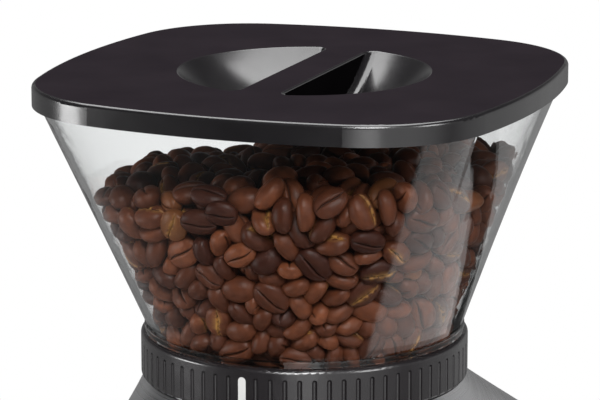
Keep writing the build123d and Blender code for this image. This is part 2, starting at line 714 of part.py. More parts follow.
def make_timer_switch():
    """Timer body on the board, with its bush through the fascia."""
    body = extrude(RectangleRounded(TIMER_W, TIMER_W, TIMER_CORNER_R), BOARD_STANDOFF - TIMER_AIR)
    bush = extrude(Circle(BUSH_R), BOARD_DEPTH)
    bore = extrude(Circle(STEM_R + FIT), BOARD_DEPTH)
    return FRONT * Pos(0, KNOB_Z, -BOARD_DEPTH) * (body + bush - Pos(0, 0, STEM_FLOOR) * bore)


def make_timer_stem():
    depth = BOARD_DEPTH - STEM_FLOOR - RUN
    return FRONT * Pos(0, KNOB_Z, -depth) * extrude(Circle(STEM_R), depth + STEM_L)


def make_timer_knob():
    """Dished knob with a ribbed grip, a hub on the stem and a pointer slot."""
    side = Polyline(
        [(0, 0, 0), (KNOB_R, 0, 0), (KNOB_R - KNOB_TAPER, 0, KNOB_H), (0, 0, KNOB_H)],
        close=True,
    )
    knob = revolve(make_face(side), Axis.Z)
    knob = fillet(knob.edges().group_by(Axis.Z)[-1], KNOB_EDGE_R)
    hub = disc(STEM_R + KNOB_WALL, -2 * OVER, KNOB_H)
    knob -= disc(KNOB_R - KNOB_TAPER - KNOB_WALL, -OVER, KNOB_H - KNOB_WALL) - hub
    lean = degrees(atan2(KNOB_TAPER, KNOB_H))
    rib = Pos(KNOB_R, 0, 0) * Rot(0, -lean, 0) * disc(KNOB_RIB_R, -OVER, KNOB_H - KNOB_RIB_STOP)
    knob -= around(rib, KNOB_RIBS, 180 / KNOB_RIBS)
    knob -= disc(STEM_R + FIT, -OVER, STEM_L - RUN + FIT)
    knob -= Pos(0, 0, KNOB_H - POINTER_DEPTH) * pointer_bar(SEAT / 4)
    return FRONT * Pos(0, KNOB_Z, RUN) * knob


def pointer_bar(grow):
    middle = KNOB_R - POINTER_INSET - POINTER_L / 2
    bar = SlotOverall(POINTER_L + 2 * grow, POINTER_W + 2 * grow)
    return extrude(Pos(0, middle, 0) * Rot(0, 0, 90) * bar, POINTER_DEPTH + OVER)


def make_knob_pointer():
    bar = pointer_bar(0) & disc(KNOB_R, 0, POINTER_DEPTH)
    return FRONT * Pos(0, KNOB_Z, RUN + KNOB_H - POINTER_DEPTH) * bar


def make_start_button():
    """Push button held behind the fascia by a flange, with a stem to its switch."""
    flange_back = -FASCIA_BACK - RUN
    cap = disc(BUTTON_R, flange_back, BUTTON_OUT)
    cap = fillet(cap.edges().group_by(Axis.Z)[-1], BUTTON_DOME)
    flange = disc(BUTTON_R + BUTTON_FLANGE, flange_back - BUTTON_FLANGE, flange_back)
    stem = disc(BUTTON_STEM_R, -BOARD_DEPTH + SWITCH_H + BUTTON_TRAVEL, flange_back)
    return FRONT * Pos(0, BUTTON_Z, 0) * (cap + flange + stem)


def make_button_switch():
    body = extrude(RectangleRounded(SWITCH_W, SWITCH_W, SWITCH_CORNER_R), SWITCH_H - SWITCH_PLUNGER_H)
    plunger = extrude(Circle(SWITCH_PLUNGER_R), SWITCH_H - RUN)
    return FRONT * Pos(0, BUTTON_Z, -BOARD_DEPTH) * (body + plunger)


# Gearbox and motor

def gearbox_outline(inset):
    """Rounded-end plan round the burr axis and the motor axis."""
    radius = GEARBOX_R - inset
    return [
        Line((radius, 0), (radius, MOTOR_Y)),
        CenterArc((0, MOTOR_Y), radius, 0, 180),
        Line((-radius, MOTOR_Y), (-radius, 0)),
        CenterArc((0, 0), radius, 180, 180),
    ]


def make_gearbox_base():
    tray = prism(gearbox_outline(0), DECK_Z, COVER_Z)
    for x, y in EARS:
        tray += disc(EAR_R, DECK_Z, COVER_Z, x, y)
    tray -= prism(gearbox_outline(GEARBOX_WALL), FLOOR_Z, COVER_Z + OVER)
    tray += disc(BEARING_R + BEARING_WALL, DECK_Z, LOWER_BEARING_Z + BEARING_W)
    tray -= disc(BEARING_R + FIT, LOWER_BEARING_Z, COVER_Z)
    tray -= disc(SHAFT_R + RUN, DECK_Z - OVER, COVER_Z)
    tray += disc(PIN_R + GEARBOX_WALL, DECK_Z, MAIN_GEAR_Z - RUN, y=IDLER_Y)
    tray -= disc(PIN_R + FIT, DECK_Z + PIN_FLOOR, COVER_Z, y=IDLER_Y)
    tray -= disc(MOTOR_SHAFT_HOLE_R, DECK_Z - OVER, COVER_Z, y=MOTOR_Y)
    for x, y in EARS:
        tray -= disc(LONG_SCREW_R + SCREW_GAP, DECK_Z - OVER, COVER_Z + OVER, x, y)
    for x, y in POSTS + MOTOR_HOLES:
        tray -= disc(SMALL_SCREW_R + SCREW_GAP, DECK_Z - OVER, COVER_Z, x, y)
    return tray


def make_gearbox_cover():
    plate = prism(gearbox_outline(0), COVER_Z, CHAMBER_Z)
    for x, y in EARS:
        plate += disc(EAR_R, COVER_Z, CHAMBER_Z, x, y)
        if y == EAR_BACK:
            plate += disc(EAR_R, CHAMBER_Z, CHAMBER_Z + LONG_SCREW_BITE + OVER, x, y)
    for x, y in EARS:
        plate -= disc(LONG_SCREW_R + SCREW_GAP, COVER_Z - OVER, CHAMBER_Z + LONG_SCREW_BITE, x, y)
    plate -= disc(SHAFT_R + SHAFT_AIR, COVER_Z - OVER, CHAMBER_Z + OVER)
    return plate - disc(PIN_R + FIT, COVER_Z - OVER, CHAMBER_Z + OVER, y=IDLER_Y)


def make_gearbox_screws():
    length = CHAMBER_Z + LONG_SCREW_BITE - SCREW_GAP - DECK_Z
    piece = Rot(180, 0, 0) * screw(LONG_SCREW_R, length, LONG_SCREW_R)
    return group(Pos(x, y, DECK_Z) * piece for x, y in EARS)


def make_post_screws():
    piece = screw(SMALL_SCREW_R, POST_SCREW_L + GEARBOX_FLOOR - OVER, SMALL_SCREW_R)
    return group(Pos(x, y, FLOOR_Z) * piece for x, y in POSTS)


def make_motor_screws():
    piece = screw(SMALL_SCREW_R, MOTOR_SCREW_L, SMALL_SCREW_R)
    return group(Pos(x, y, FLOOR_Z) * piece for x, y in MOTOR_HOLES)


def make_lower_bearing():
    return bearing(LOWER_BEARING_Z)


def make_upper_bearing():
    return bearing(CHAMBER_Z)


def bearing(low):
    """Ball bearing with its shield set in a little on both faces."""
    ring = tube(BEARING_R, SHAFT_R + FIT, low, low + BEARING_W)
    shield = tube(BEARING_R - OUTER_RACE, SHAFT_R + INNER_RACE, 0, SHIELD_INSET)
    return ring - Pos(0, 0, low) * shield - Pos(0, 0, low + BEARING_W - SHIELD_INSET) * shield


def make_idler_pin():
    return disc(PIN_R, DECK_Z + PIN_FLOOR, CHAMBER_Z, y=IDLER_Y)


def make_idler_gear():
    """Compound wheel: the small gear drives the main gear, the large one meets the motor."""
    half_pitch = 180 / PINION_TEETH
    bore = PIN_R + FIT
    small = gear_wheel(GEAR_MODULE_BURR, PINION_TEETH, half_pitch - 90, MAIN_GEAR_Z, MAIN_GEAR_W, bore)
    hub_r = GEAR_MODULE_BURR * (PINION_TEETH / 2 - DEDENDUM)
    hub = tube(hub_r, bore, MAIN_GEAR_Z, IDLER_GEAR_Z)
    large = gear_wheel(GEAR_MODULE_MOTOR, IDLER_TEETH, 90, IDLER_GEAR_Z, IDLER_GEAR_W, bore)
    return Pos(0, IDLER_Y, 0) * (small + hub + large)


def make_main_gear():
    wheel = gear_wheel(GEAR_MODULE_BURR, MAIN_TEETH, 90, MAIN_GEAR_Z, MAIN_GEAR_W, SHAFT_R + FIT)
    web_r = GEAR_MODULE_BURR * (MAIN_TEETH / 2 - DEDENDUM) - GEAR_RIM
    hub_r = SHAFT_R + GEAR_HUB
    web_gap = MAIN_GEAR_W / 4
    hollow = tube(web_r, hub_r, 0, web_gap)
    return wheel - Pos(0, 0, MAIN_GEAR_Z) * hollow - Pos(0, 0, MAIN_GEAR_Z + MAIN_GEAR_W - web_gap) * hollow


def make_motor_pinion():
    half_pitch = 180 / PINION_TEETH
    bore = MOTOR_SHAFT_R + FIT
    pinion = gear_wheel(GEAR_MODULE_MOTOR, PINION_TEETH, half_pitch - 90, IDLER_GEAR_Z, IDLER_GEAR_W, bore)
    return Pos(0, MOTOR_Y, 0) * pinion


def make_motor_can():
    can = disc(MOTOR_R, MOTOR_Z, DECK_Z, y=MOTOR_Y)
    can = fillet(can.edges(), MOTOR_EDGE_R)
    can -= disc(MOTOR_SHAFT_R + FIT, MOTOR_Z - OVER, DECK_Z + OVER, y=MOTOR_Y)
    for x, y in MOTOR_HOLES:
        can -= disc(SMALL_SCREW_R + SCREW_GAP, FLOOR_Z - MOTOR_SCREW_L - SCREW_GAP, DECK_Z + OVER, x, y)
    return can


def make_motor_endbell():
    """Brush cap under the motor, with two brush holders."""
    low = MOTOR_Z - ENDBELL_H
    cap = disc(MOTOR_R - ENDBELL_INSET, low, MOTOR_Z)
    cap = fillet(cap.edges().group_by(Axis.Z)[0], ENDBELL_EDGE_R)
    brush_x = MOTOR_R - BRUSH_INSET
    for x in (-brush_x, brush_x):
        cap += block(BRUSH_W, BRUSH_L, low - BRUSH_DROP, MOTOR_Z - BRUSH_SINK, x=x)
    return Pos(0, MOTOR_Y, 0) * (cap - disc(MOTOR_SHAFT_R + FIT, low - OVER, MOTOR_Z + OVER))


def make_motor_shaft():
    return disc(MOTOR_SHAFT_R, FAN_TOP - FAN_H, IDLER_GEAR_Z + IDLER_GEAR_W, y=MOTOR_Y)


def make_cooling_fan():
    """Radial fan: a back plate, a hub and straight blades."""
    low = FAN_TOP - FAN_H
    fan_r = MOTOR_R - FAN_INSET
    fan = disc(fan_r, low, low + FAN_PLATE) + disc(FAN_HUB_R, low, FAN_TOP)
    blade_x = (fan_r + FAN_HUB_R) / 2 - FAN_BLADE_SINK
    fan += around(block(fan_r - FAN_HUB_R, FAN_BLADE_T, low, FAN_TOP, x=blade_x), FAN_BLADES)
    return Pos(0, MOTOR_Y, 0) * (fan - disc(MOTOR_SHAFT_R + FIT, low - OVER, FAN_TOP + OVER))


# Grinding chamber and burrs

def make_grind_chamber():
    """Cup that holds the burrs: keyways for the carrier, an exit at the front, a bearing below."""
    cup = disc(CHAMBER_R, CHAMBER_Z, CASING_TOP)
    flange_top = CASING_TOP - CASING_T
    cup += disc(CHAMBER_R + CHAMBER_FLANGE, flange_top - CHAMBER_FLANGE, flange_top)
    cup -= disc(CHAMBER_BORE_R, CHAMBER_FLOOR, CASING_TOP + OVER)
    cup -= disc(BEARING_R + FIT, CHAMBER_Z - OVER, CHAMBER_Z + BEARING_W)
    cup -= disc(SHAFT_R + FIT * 2, CHAMBER_Z, CHAMBER_FLOOR + OVER)
    cup -= disc(DUST_SEAL_R + SEAT / 2, CHAMBER_FLOOR - SEAL_POCKET / 2, CHAMBER_FLOOR + OVER)
    key_r = CHAMBER_BORE_R + LUG_REACH + RUN
    cup -= block(2 * key_r, LUG_W + 2 * RUN, CARRIER_Z - KEYWAY_DROP, CASING_TOP + OVER)
    cup -= block(EXIT_W, EXIT_L, CHAMBER_Z - OVER, CHAMBER_FLOOR + OVER, y=EXIT_Y)
    for x, y in EARS:
        cup -= disc(LONG_SCREW_R + SCREW_GAP, CHAMBER_Z - OVER, CHAMBER_Z + LONG_SCREW_BITE, x, y)
    return cup


def make_dust_seal():
    return tube(DUST_SEAL_R, SHAFT_R + FIT * 2, CHAMBER_FLOOR - SEAL_POCKET / 2, CHAMBER_FLOOR)


def make_burr_shaft():
    return disc(SHAFT_R, LOWER_BEARING_Z, SHAFT_TOP)


def make_sweeper():
    """Turning floor that pushes the grounds to the exit."""
    disc_top = SWEEPER_Z + SWEEPER_T
    wheel = disc(SWEEPER_R, SWEEPER_Z, disc_top)
    vane_in = CONE_R + SWEEPER_VANE_AIR
    vane_top = disc_top + SWEEPER_VANE_H - RUN
    vane = block(SWEEPER_R - vane_in, SWEEPER_VANE_T, SWEEPER_Z, vane_top, x=(SWEEPER_R + vane_in) / 2)
    wheel += around(vane & disc(SWEEPER_R, 0, BIG), SWEEPER_VANES)
    wheel += disc(SWEEPER_HUB_R, SWEEPER_Z, CONE_Z)
    return wheel - disc(SHAFT_R + FIT, SWEEPER_Z - OVER, CONE_Z + OVER)


def leaning_cut(shape, radius, height, slope, lean):
    """Sets a cutter along a cone's side, leaning about the side's outward direction."""
    up = Vector(-slope, 0, 1).normalized()
    out = Vector(1, 0, slope).normalized()
    along = up * cos(radians(lean)) + Vector(0, sin(radians(lean)), 0)
    return Plane(origin=(radius, 0, height), x_dir=out, z_dir=along) * shape


def make_cone_burr():
    """Inner burr: deep leaning flutes that break the beans and fine teeth round the skirt."""
    fine_r = CONE_R - CONE_FINE_SLOPE
    fine_top = CONE_Z + CONE_FINE_H
    top = CONE_Z + CONE_H
    cone = spin_profile([(0, CONE_Z), (CONE_R, CONE_Z), (fine_r, fine_top), (CONE_TOP_R, top), (0, top)])
    breaker_h = CONE_H - CONE_FINE_H
    slope = (fine_r - CONE_TOP_R) / breaker_h
    cutter = Pos(FLUTE_R - FLUTE_DEPTH, 0, 0) * Cylinder(FLUTE_R, CONE_H * 2)
    flute = leaning_cut(cutter, (fine_r + CONE_TOP_R) / 2, fine_top + breaker_h / 2, slope, FLUTE_LEAN)
    cone -= around(flute & disc(CONE_R * 2, fine_top - FLUTE_RUNOUT, top + OVER), CONE_FLUTES)
    tooth = Rot(0, 0, 45) * Box(TOOTH_CUT, TOOTH_CUT, CONE_FINE_H * 2)
    middle_r = CONE_R - CONE_FINE_SLOPE / 2
    fine_slope = CONE_FINE_SLOPE / CONE_FINE_H
    tooth = leaning_cut(tooth, middle_r, CONE_Z + CONE_FINE_H / 2, fine_slope, TOOTH_LEAN)
    cone -= around(tooth & disc(CONE_R * 2, CONE_Z - OVER, fine_top), CONE_TEETH)
    return cone - disc(SHAFT_R + FIT, CONE_Z - OVER, top + OVER)


def make_burr_nut():
    low = CONE_Z + CONE_H
    nut = extrude(Pos(0, 0, low) * RegularPolygon(NUT_R, 6), NUT_H - NUT_WASHER_T)
    nut += disc(NUT_R + NUT_WASHER_OUT, low, low + NUT_WASHER_T)
    return nut - disc(SHAFT_R + FIT, low - OVER, low + NUT_H + OVER)


def make_ring_burr():
    """Outer burr: a steel ring whose bore narrows downwards, with leaning teeth."""
    low = CARRIER_Z
    high = CARRIER_Z + RING_BURR_H
    lower_r = THROAT_R + RING_BURR_FOOT
    upper_r = THROAT_R + RING_BURR_MOUTH
    ring = spin_profile([(lower_r, low), (RING_BURR_R, low), (RING_BURR_R, high), (upper_r, high)])
    slope = (lower_r - upper_r) / RING_BURR_H
    tooth = Rot(0, 0, 45) * Box(TOOTH_CUT, TOOTH_CUT, RING_BURR_H * 2)
    tooth = leaning_cut(tooth, (lower_r + upper_r) / 2, (low + high) / 2, slope, -TOOTH_LEAN)
    ring -= around(tooth & disc(RING_BURR_R * 2, low - OVER, high + OVER), RING_BURR_TEETH)
    for x, y in burr_screw_places():
        ring -= disc(SMALL_SCREW_R + SCREW_GAP, high - BURR_SCREW_L, high + OVER, x, y)
    return ring


def burr_screw_places():
    radius = RING_BURR_R - SMALL_SCREW_R - BURR_SCREW_EDGE
    bearings = [radians(30 + 360 / BURR_SCREWS * i) for i in range(BURR_SCREWS)]
    return [(radius * cos(a), radius * sin(a)) for a in bearings]


def make_burr_carrier():
    """Threaded holder of the ring burr; two lugs in the keyways stop it turning."""
    high = CARRIER_Z + CARRIER_H
    cup = disc(CARRIER_R, CARRIER_Z, high)
    lug_r = CHAMBER_BORE_R + LUG_REACH
    cup += block(2 * lug_r, LUG_W, CARRIER_Z, CARRIER_Z + LUG_H)
    cup -= disc(RING_BURR_R + FIT, CARRIER_Z - OVER, CARRIER_Z + RING_BURR_H)
    cup -= disc(THROAT_R + RING_BURR_MOUTH, CARRIER_Z, high + OVER)
    for x, y in burr_screw_places():
        cup -= disc(SMALL_SCREW_R + SCREW_GAP, CARRIER_Z, high + OVER, x, y)
        cup -= disc(SMALL_SCREW_R * HEAD_RATIO + SEAT, high - CARRIER_LIP / 2, high + OVER, x, y)
    return cup


def make_burr_screws():
    seat = CARRIER_Z + CARRIER_H - CARRIER_LIP / 2
    piece = screw(SMALL_SCREW_R, BURR_SCREW_L, SMALL_SCREW_R)
    return group(Pos(x, y, seat) * piece for x, y in burr_screw_places())


# Ring, hopper and lid

def make_adjusting_ring():
    """Ribbed ring: a wall round the hopper's neck, a flange, and a skirt down to the burr carrier."""
    wall = tube(RING_R, RING_BORE_R, RING_Z, RING_TOP)
    circles = wall.edges().filter_by(GeomType.CIRCLE)
    wall = fillet([e for e in circles if e.radius > RING_BORE_R + NEAR], RING_EDGE_R)
    ring = wall + tube(RING_BORE_R + OVER, FLANGE_BORE_R, RING_Z, RING_FLANGE_TOP)
    ring += tube(SKIRT_R, SKIRT_BORE_R, RING_Z - SKIRT_L, RING_Z + OVER)
    groove_top = RING_TOP - PLAIN_BAND - GROOVE_R
    groove = disc(GROOVE_R, RING_Z - OVER, groove_top, x=RING_R)
    groove += Pos(RING_R, 0, groove_top) * Sphere(GROOVE_R)
    pitch = 360 / GROOVE_COUNT
    ring -= [Rot(0, 0, pitch * i - 90) * groove for i in range(1, GROOVE_COUNT)]
    ring -= index_bar(SEAT / 4)
    return ring - around(tongue(RUN), TONGUE_COUNT, 30)


def index_bar(grow):
    middle = RING_TOP - PLAIN_BAND - INDEX_L / 2
    bar = Rot(0, 0, 90) * SlotOverall(INDEX_L + 2 * grow, INDEX_W + 2 * grow)
    face = Plane(origin=(0, -RING_R, middle), x_dir=(1, 0, 0), z_dir=(0, -1, 0))
    return extrude(face * Pos(0, 0, -INDEX_DEPTH) * bar, 2 * INDEX_DEPTH)


def make_index_mark():
    return index_bar(0) & disc(RING_R, RING_Z, RING_TOP)


def tongue(grow):
    """Key under the hopper's neck, or its slot in the ring's flange."""
    width = TONGUE_W + 2 * grow
    depth = TONGUE_T + 2 * grow
    return block(depth, width, NECK_Z - GASKET_T - TONGUE_L - 2 * grow, NECK_Z + grow, x=TONGUE_R)


def hopper_form(inset, low, high):
    """Hopper wall from the round foot to the bowed square rim, drawn in by the wall."""
    rim = lid_outline(LID_HALF - HOPPER_HALF + inset)
    foot = matching_circle(HOPPER_FOOT_R - inset, rim)
    bead_top = RING_TOP + RUN + BEAD_H
    form = blend_loft(foot, bead_top, rim, LID_EDGE_Z) + prism(rim, LID_EDGE_Z, high)
    return form + disc(HOPPER_FOOT_R - inset, low, bead_top)


def make_bean_hopper():
    """Clear hopper with a bead on the ring, a neck inside it and a funnel to the burrs."""
    rim_top = LID_TOP - LID_T - SEAT
    bead_low = RING_TOP + RUN
    hopper = hopper_form(0, bead_low, rim_top)
    hopper += disc(HOPPER_FOOT_R + BEAD_OUT, bead_low, bead_low + BEAD_H)
    hopper += disc(NECK_R, NECK_Z, bead_low + OVER)
    hopper -= hopper_form(HOPPER_WALL, bead_low + BEAD_H / 2, rim_top + OVER)
    wide = NECK_R - HOPPER_WALL
    bead_top = bead_low + BEAD_H
    hopper -= spin_profile([
        (0, NECK_Z - OVER),
        (THROAT_R, NECK_Z - OVER),
        (THROAT_R, funnel_height(THROAT_R)),
        (wide, funnel_height(wide)),
        (wide, bead_top),
        (0, bead_top),
    ])
    land_r = THROAT_R + THROAT_LAND
    hollow_r = wide - NECK_STEP
    hopper -= spin_profile([
        (land_r, NECK_Z - OVER),
        (hollow_r, NECK_Z - OVER),
        (hollow_r, funnel_height(hollow_r) - FUNNEL_T),
        (land_r, funnel_height(land_r) - FUNNEL_T),
    ])
    return hopper + around(tongue(0), TONGUE_COUNT, 30)


def funnel_height(radius):
    """Height of the funnel's upper face, from the throat up to the ring's top."""
    low = NECK_Z + FUNNEL_T
    return low + (RING_TOP - low) * (radius - THROAT_R) / (NECK_R - HOPPER_WALL - THROAT_R)


def make_hopper_gasket():
    inner = FLANGE_BORE_R + GASKET_INSET
    return tube(inner + GASKET_W, inner, RING_FLANGE_TOP, NECK_Z)


def make_finger_guard():
    """Hub on spokes over the burrs, resting on the funnel."""
    low = NECK_Z + FUNNEL_T + GUARD_LIFT
    guard = disc(GUARD_HUB_R, low, low + GUARD_T)
    spoke = block(NECK_R, GUARD_SPOKE_W, low, low + GUARD_T, x=NECK_R / 2)
    guard += around(spoke, GUARD_SPOKES, 90)
    run = 1 / (funnel_height(THROAT_R + 1) - funnel_height(THROAT_R))
    low_r = THROAT_R + run * (low - funnel_height(THROAT_R)) - SEAT
    high_r = low_r + run * GUARD_T
    return guard & spin_profile([(0, low), (low_r, low), (high_r, low + GUARD_T), (0, low + GUARD_T)])


def well_sphere(grow):
    """Ball whose lower cap is the round recess of the lid."""
    radius = (WELL_R**2 + WELL_DEPTH**2) / (2 * WELL_DEPTH)
    return Pos(0, 0, LID_TOP - WELL_DEPTH + radius) * Sphere(radius + grow)


def finger_well():
    """One finger well beside the grip bar, rounded along the foot of the bar."""
    reach = WELL_R * 2
    above = LID_TOP + WELL_DEPTH / 2
    half_space = block(reach, 2 * reach, LID_TOP - 2 * WELL_DEPTH, above, x=GRIP_BAR_W / 2 + reach / 2)
    well = well_sphere(0) & half_space
    foot = [e for e in well.edges() if abs(e.center().X - GRIP_BAR_W / 2) < NEAR and e.center().Z < LID_TOP]
    return fillet(foot, WELL_CORNER_R)


def make_hopper_lid():
    """Shallow cap with two finger wells, a grip bar between them and a rib for the seal."""
    cap = prism(lid_outline(0), LID_EDGE_Z, LID_TOP)
    cap = fillet(cap.edges().group_by(Axis.Z)[-1], LID_EDGE_R)
    cap -= prism(lid_outline(SKIRT_WALL), LID_EDGE_Z - OVER, LID_TOP - LID_T)
    rib_inset = LID_HALF - HOPPER_HALF + HOPPER_WALL + RUN + SEAL_T
    rib_low = LID_TOP - LID_T - SEAL_DROP - SEAL_H
    rib = prism(lid_outline(rib_inset), rib_low, LID_TOP - LID_T / 2)
    rib -= prism(lid_outline(rib_inset + RIB_T), rib_low - OVER, LID_TOP)
    cap += rib
    bowl_low = LID_TOP - WELL_DEPTH - 2 * WELL_WALL
    cap += well_sphere(WELL_WALL) & disc(WELL_R * 2, bowl_low, LID_TOP - LID_T / 2)
    hollow = block(GRIP_BAR_W - 2 * WELL_WALL, 2 * WELL_R, bowl_low, LID_TOP - LID_T)
    cap -= hollow & well_sphere(WELL_WALL * 2)
    well = finger_well()
    cap = cap - well - mirror(well, Plane.YZ)
    rims = cap.edges().filter_by_position(Axis.Z, LID_TOP - NEAR, LID_TOP + NEAR)
    rims = rims.filter_by_position(Axis.X, -WELL_R, WELL_R).filter_by_position(Axis.Y, -WELL_R, WELL_R)
    return fillet(rims, WELL_RIM_R)


def make_lid_seal():
    inset = LID_HALF - HOPPER_HALF + HOPPER_WALL + RUN
    high = LID_TOP - LID_T - SEAL_DROP
    seal = prism(lid_outline(inset), high - SEAL_H, high)
    return seal - prism(lid_outline(inset + SEAL_T), high - SEAL_H - OVER, high + OVER)


NODES = {
    "base_plate": make_base_plate,
    "rubber_feet": make_rubber_feet,
    "base_screws": make_base_screws,
    "steel_casing": make_steel_casing,
    "cord_gland": make_cord_gland,
    "bin_bay": make_bin_bay,
    "grounds_bin": make_grounds_bin,
    "bin_lid": make_bin_lid,
    "grounds_chute": make_chute,
    "front_fascia": make_fascia,
    "control_board": make_control_board,
    "board_screws": make_board_screws,
    "timer_switch": make_timer_switch,
    "timer_stem": make_timer_stem,
    "timer_knob": make_timer_knob,
    "knob_pointer": make_knob_pointer,
    "start_button": make_start_button,
    "button_switch": make_button_switch,
    "gearbox_base": make_gearbox_base,
    "gearbox_cover": make_gearbox_cover,
    "gearbox_screws": make_gearbox_screws,
    "post_screws": make_post_screws,
    "motor_screws": make_motor_screws,
    "lower_bearing": make_lower_bearing,
    "upper_bearing": make_upper_bearing,
    "idler_pin": make_idler_pin,
    "idler_gear": make_idler_gear,
    "main_gear": make_main_gear,
    "motor_pinion": make_motor_pinion,
    "motor_can": make_motor_can,
    "motor_endbell": make_motor_endbell,
    "motor_shaft": make_motor_shaft,
    "cooling_fan": make_cooling_fan,
    "grind_chamber": make_grind_chamber,
    "dust_seal": make_dust_seal,
    "burr_shaft": make_burr_shaft,
    "sweeper": make_sweeper,
    "cone_burr": make_cone_burr,
    "burr_nut": make_burr_nut,
    "ring_burr": make_ring_burr,
    "burr_carrier": make_burr_carrier,
    "burr_screws": make_burr_screws,
    "adjusting_ring": make_adjusting_ring,
    "index_mark": make_index_mark,
    "bean_hopper": make_bean_hopper,
    "hopper_gasket": make_hopper_gasket,
    "finger_guard": make_finger_guard,
    "hopper_lid": make_hopper_lid,
    "lid_seal": make_lid_seal,
}

os.makedirs("parts", exist_ok=True)
for name, make in NODES.items():
    export_step(make(), f"parts/{name}.step")
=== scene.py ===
import json
from math import cos, pi, radians, sin

import bpy
import numpy as np
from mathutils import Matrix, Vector
from mathutils.bvhtree import BVHTree


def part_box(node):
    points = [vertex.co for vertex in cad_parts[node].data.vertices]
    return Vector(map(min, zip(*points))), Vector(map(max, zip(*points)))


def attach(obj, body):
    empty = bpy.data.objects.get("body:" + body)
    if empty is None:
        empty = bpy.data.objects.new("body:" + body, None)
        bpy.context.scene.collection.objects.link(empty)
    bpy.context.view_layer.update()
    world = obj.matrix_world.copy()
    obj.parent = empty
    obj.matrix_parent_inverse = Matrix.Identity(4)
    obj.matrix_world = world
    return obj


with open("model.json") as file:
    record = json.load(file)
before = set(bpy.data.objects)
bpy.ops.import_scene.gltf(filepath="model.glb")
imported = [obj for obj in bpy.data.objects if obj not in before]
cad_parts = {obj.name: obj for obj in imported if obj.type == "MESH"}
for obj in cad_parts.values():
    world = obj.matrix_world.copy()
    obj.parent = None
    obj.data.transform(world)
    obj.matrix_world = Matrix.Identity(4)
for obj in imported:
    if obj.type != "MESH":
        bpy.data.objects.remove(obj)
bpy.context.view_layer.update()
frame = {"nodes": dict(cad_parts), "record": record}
NODES = frame["nodes"]
MM = 0.001
SEED = 7
TINY = 1e-9


# Shading nodes

def combined(tree, operation, first, second):
    """A number made from two others."""
    made = tree.nodes.new("ShaderNodeMath")
    made.operation = operation
    tree.links.new(first, made.inputs[0])
    tree.links.new(second, made.inputs[1])
    return made.outputs[0]


def larger_of(tree, first, second):
    return combined(tree, "MAXIMUM", first, second)


def times(tree, first, second):
    return combined(tree, "MULTIPLY", first, second)


def graded(tree, source, first, last, low, high):
    """A number that goes from low to high as the source goes from first to last."""
    made = tree.nodes.new("ShaderNodeMapRange")
    tree.links.new(source, made.inputs["Value"])
    limits = {"From Min": first, "From Max": last, "To Min": low, "To Max": high}
    for key, value in limits.items():
        made.inputs[key].default_value = value
    return made.outputs["Result"]


class Shade:
    """One node material, with short ways to add the nodes that these looks share."""

    def __init__(self, name, **sockets):
        self.mat = bpy.data.materials.new(name)
        self.mat.use_nodes = True
        self.tree = self.mat.node_tree
        self.bsdf = self.tree.nodes["Principled BSDF"]
        self.out = self.tree.nodes["Material Output"]
        self.coord = self.tree.nodes.new("ShaderNodeTexCoord").outputs["Object"]
        for key, value in sockets.items():
            self.bsdf.inputs[key.replace("_", " ")].default_value = value

    def link(self, source, target):
        self.tree.links.new(source, target)

    def feed(self, socket, source):
        self.link(source, self.bsdf.inputs[socket])

    def fill(self, socket, value):
        """Links a socket to another node's output, or sets its own value."""
        if hasattr(value, "is_output"):
            self.link(value, socket)
        else:
            socket.default_value = value

    def node(self, kind, **values):
        made = self.tree.nodes.new(kind)
        for key, value in values.items():
            self.fill(made.inputs[key], value)
        return made

    def noise(self, scale, detail=2.0, stretch=None, vector=None):
        vector = vector or self.coord
        if stretch:
            vector = self.node("ShaderNodeMapping", Vector=vector, Scale=stretch).outputs[0]
        made = self.node("ShaderNodeTexNoise", Vector=vector, Scale=scale, Detail=detail)
        return made.outputs["Fac"]

    def spread(self, source, low, high, first=0.3, last=0.7):
        """Numbers from low to high as the source goes from first to last."""
        return graded(self.tree, source, first, last, low, high)

    def mix(self, source, low, high):
        """Colours from low to high as the source goes from 0 to 1."""
        made = self.tree.nodes.new("ShaderNodeMix")
        made.data_type = "RGBA"
        self.link(source, made.inputs["Factor"])
        colours = [s for s in made.inputs if s.type == "RGBA"]
        for socket, value in zip(colours, (low, high)):
            self.fill(socket, (*value, 1.0) if isinstance(value, tuple) else value)
        return next(s for s in made.outputs if s.type == "RGBA")

    def bump(self, height, strength, distance):
        made = self.node("ShaderNodeBump", Strength=strength, Distance=distance, Height=height)
        self.feed("Normal", made.outputs["Normal"])

    def attribute(self, name):
        made = self.tree.nodes.new("ShaderNodeAttribute")
        made.attribute_name = name
        return made.outputs["Fac"]


# Materials

def moulded(name, dark, light, rough, grain, depth, specular):
    """Moulded plastic or rubber: mottled colour, uneven gloss and a fine grain."""
    shade = Shade(name, Specular_IOR_Level=specular)
    mottle = shade.spread(shade.noise(scale=55, detail=4), 0, 1)
    shade.feed("Base Color", shade.mix(mottle, dark, light))
    shade.feed("Roughness", shade.spread(shade.noise(scale=160, detail=3), *rough))
    shade.bump(shade.noise(grain), strength=0.35, distance=depth * MM)
    return shade.mat


def brushed(name, dark, light, rough, stretch, depth):
    """Metal with fine lines left by brushing or turning along one direction."""
    shade = Shade(name, Metallic=1.0)
    lines = shade.noise(scale=1.0, detail=5, stretch=stretch)
    gloss = shade.noise(scale=1.0, detail=3, stretch=[s * 0.6 for s in stretch])
    shade.feed("Base Color", shade.mix(shade.spread(lines, 0, 1), dark, light))
    shade.feed("Roughness", shade.spread(gloss, *rough))
    shade.bump(lines, strength=0.12, distance=depth * MM)
    return shade.mat


AROUND = (3, 3, 1500)  # lines that run level round the body
STEEL_DARK = (0.55, 0.55, 0.56)
STEEL_LIGHT = (0.66, 0.66, 0.67)


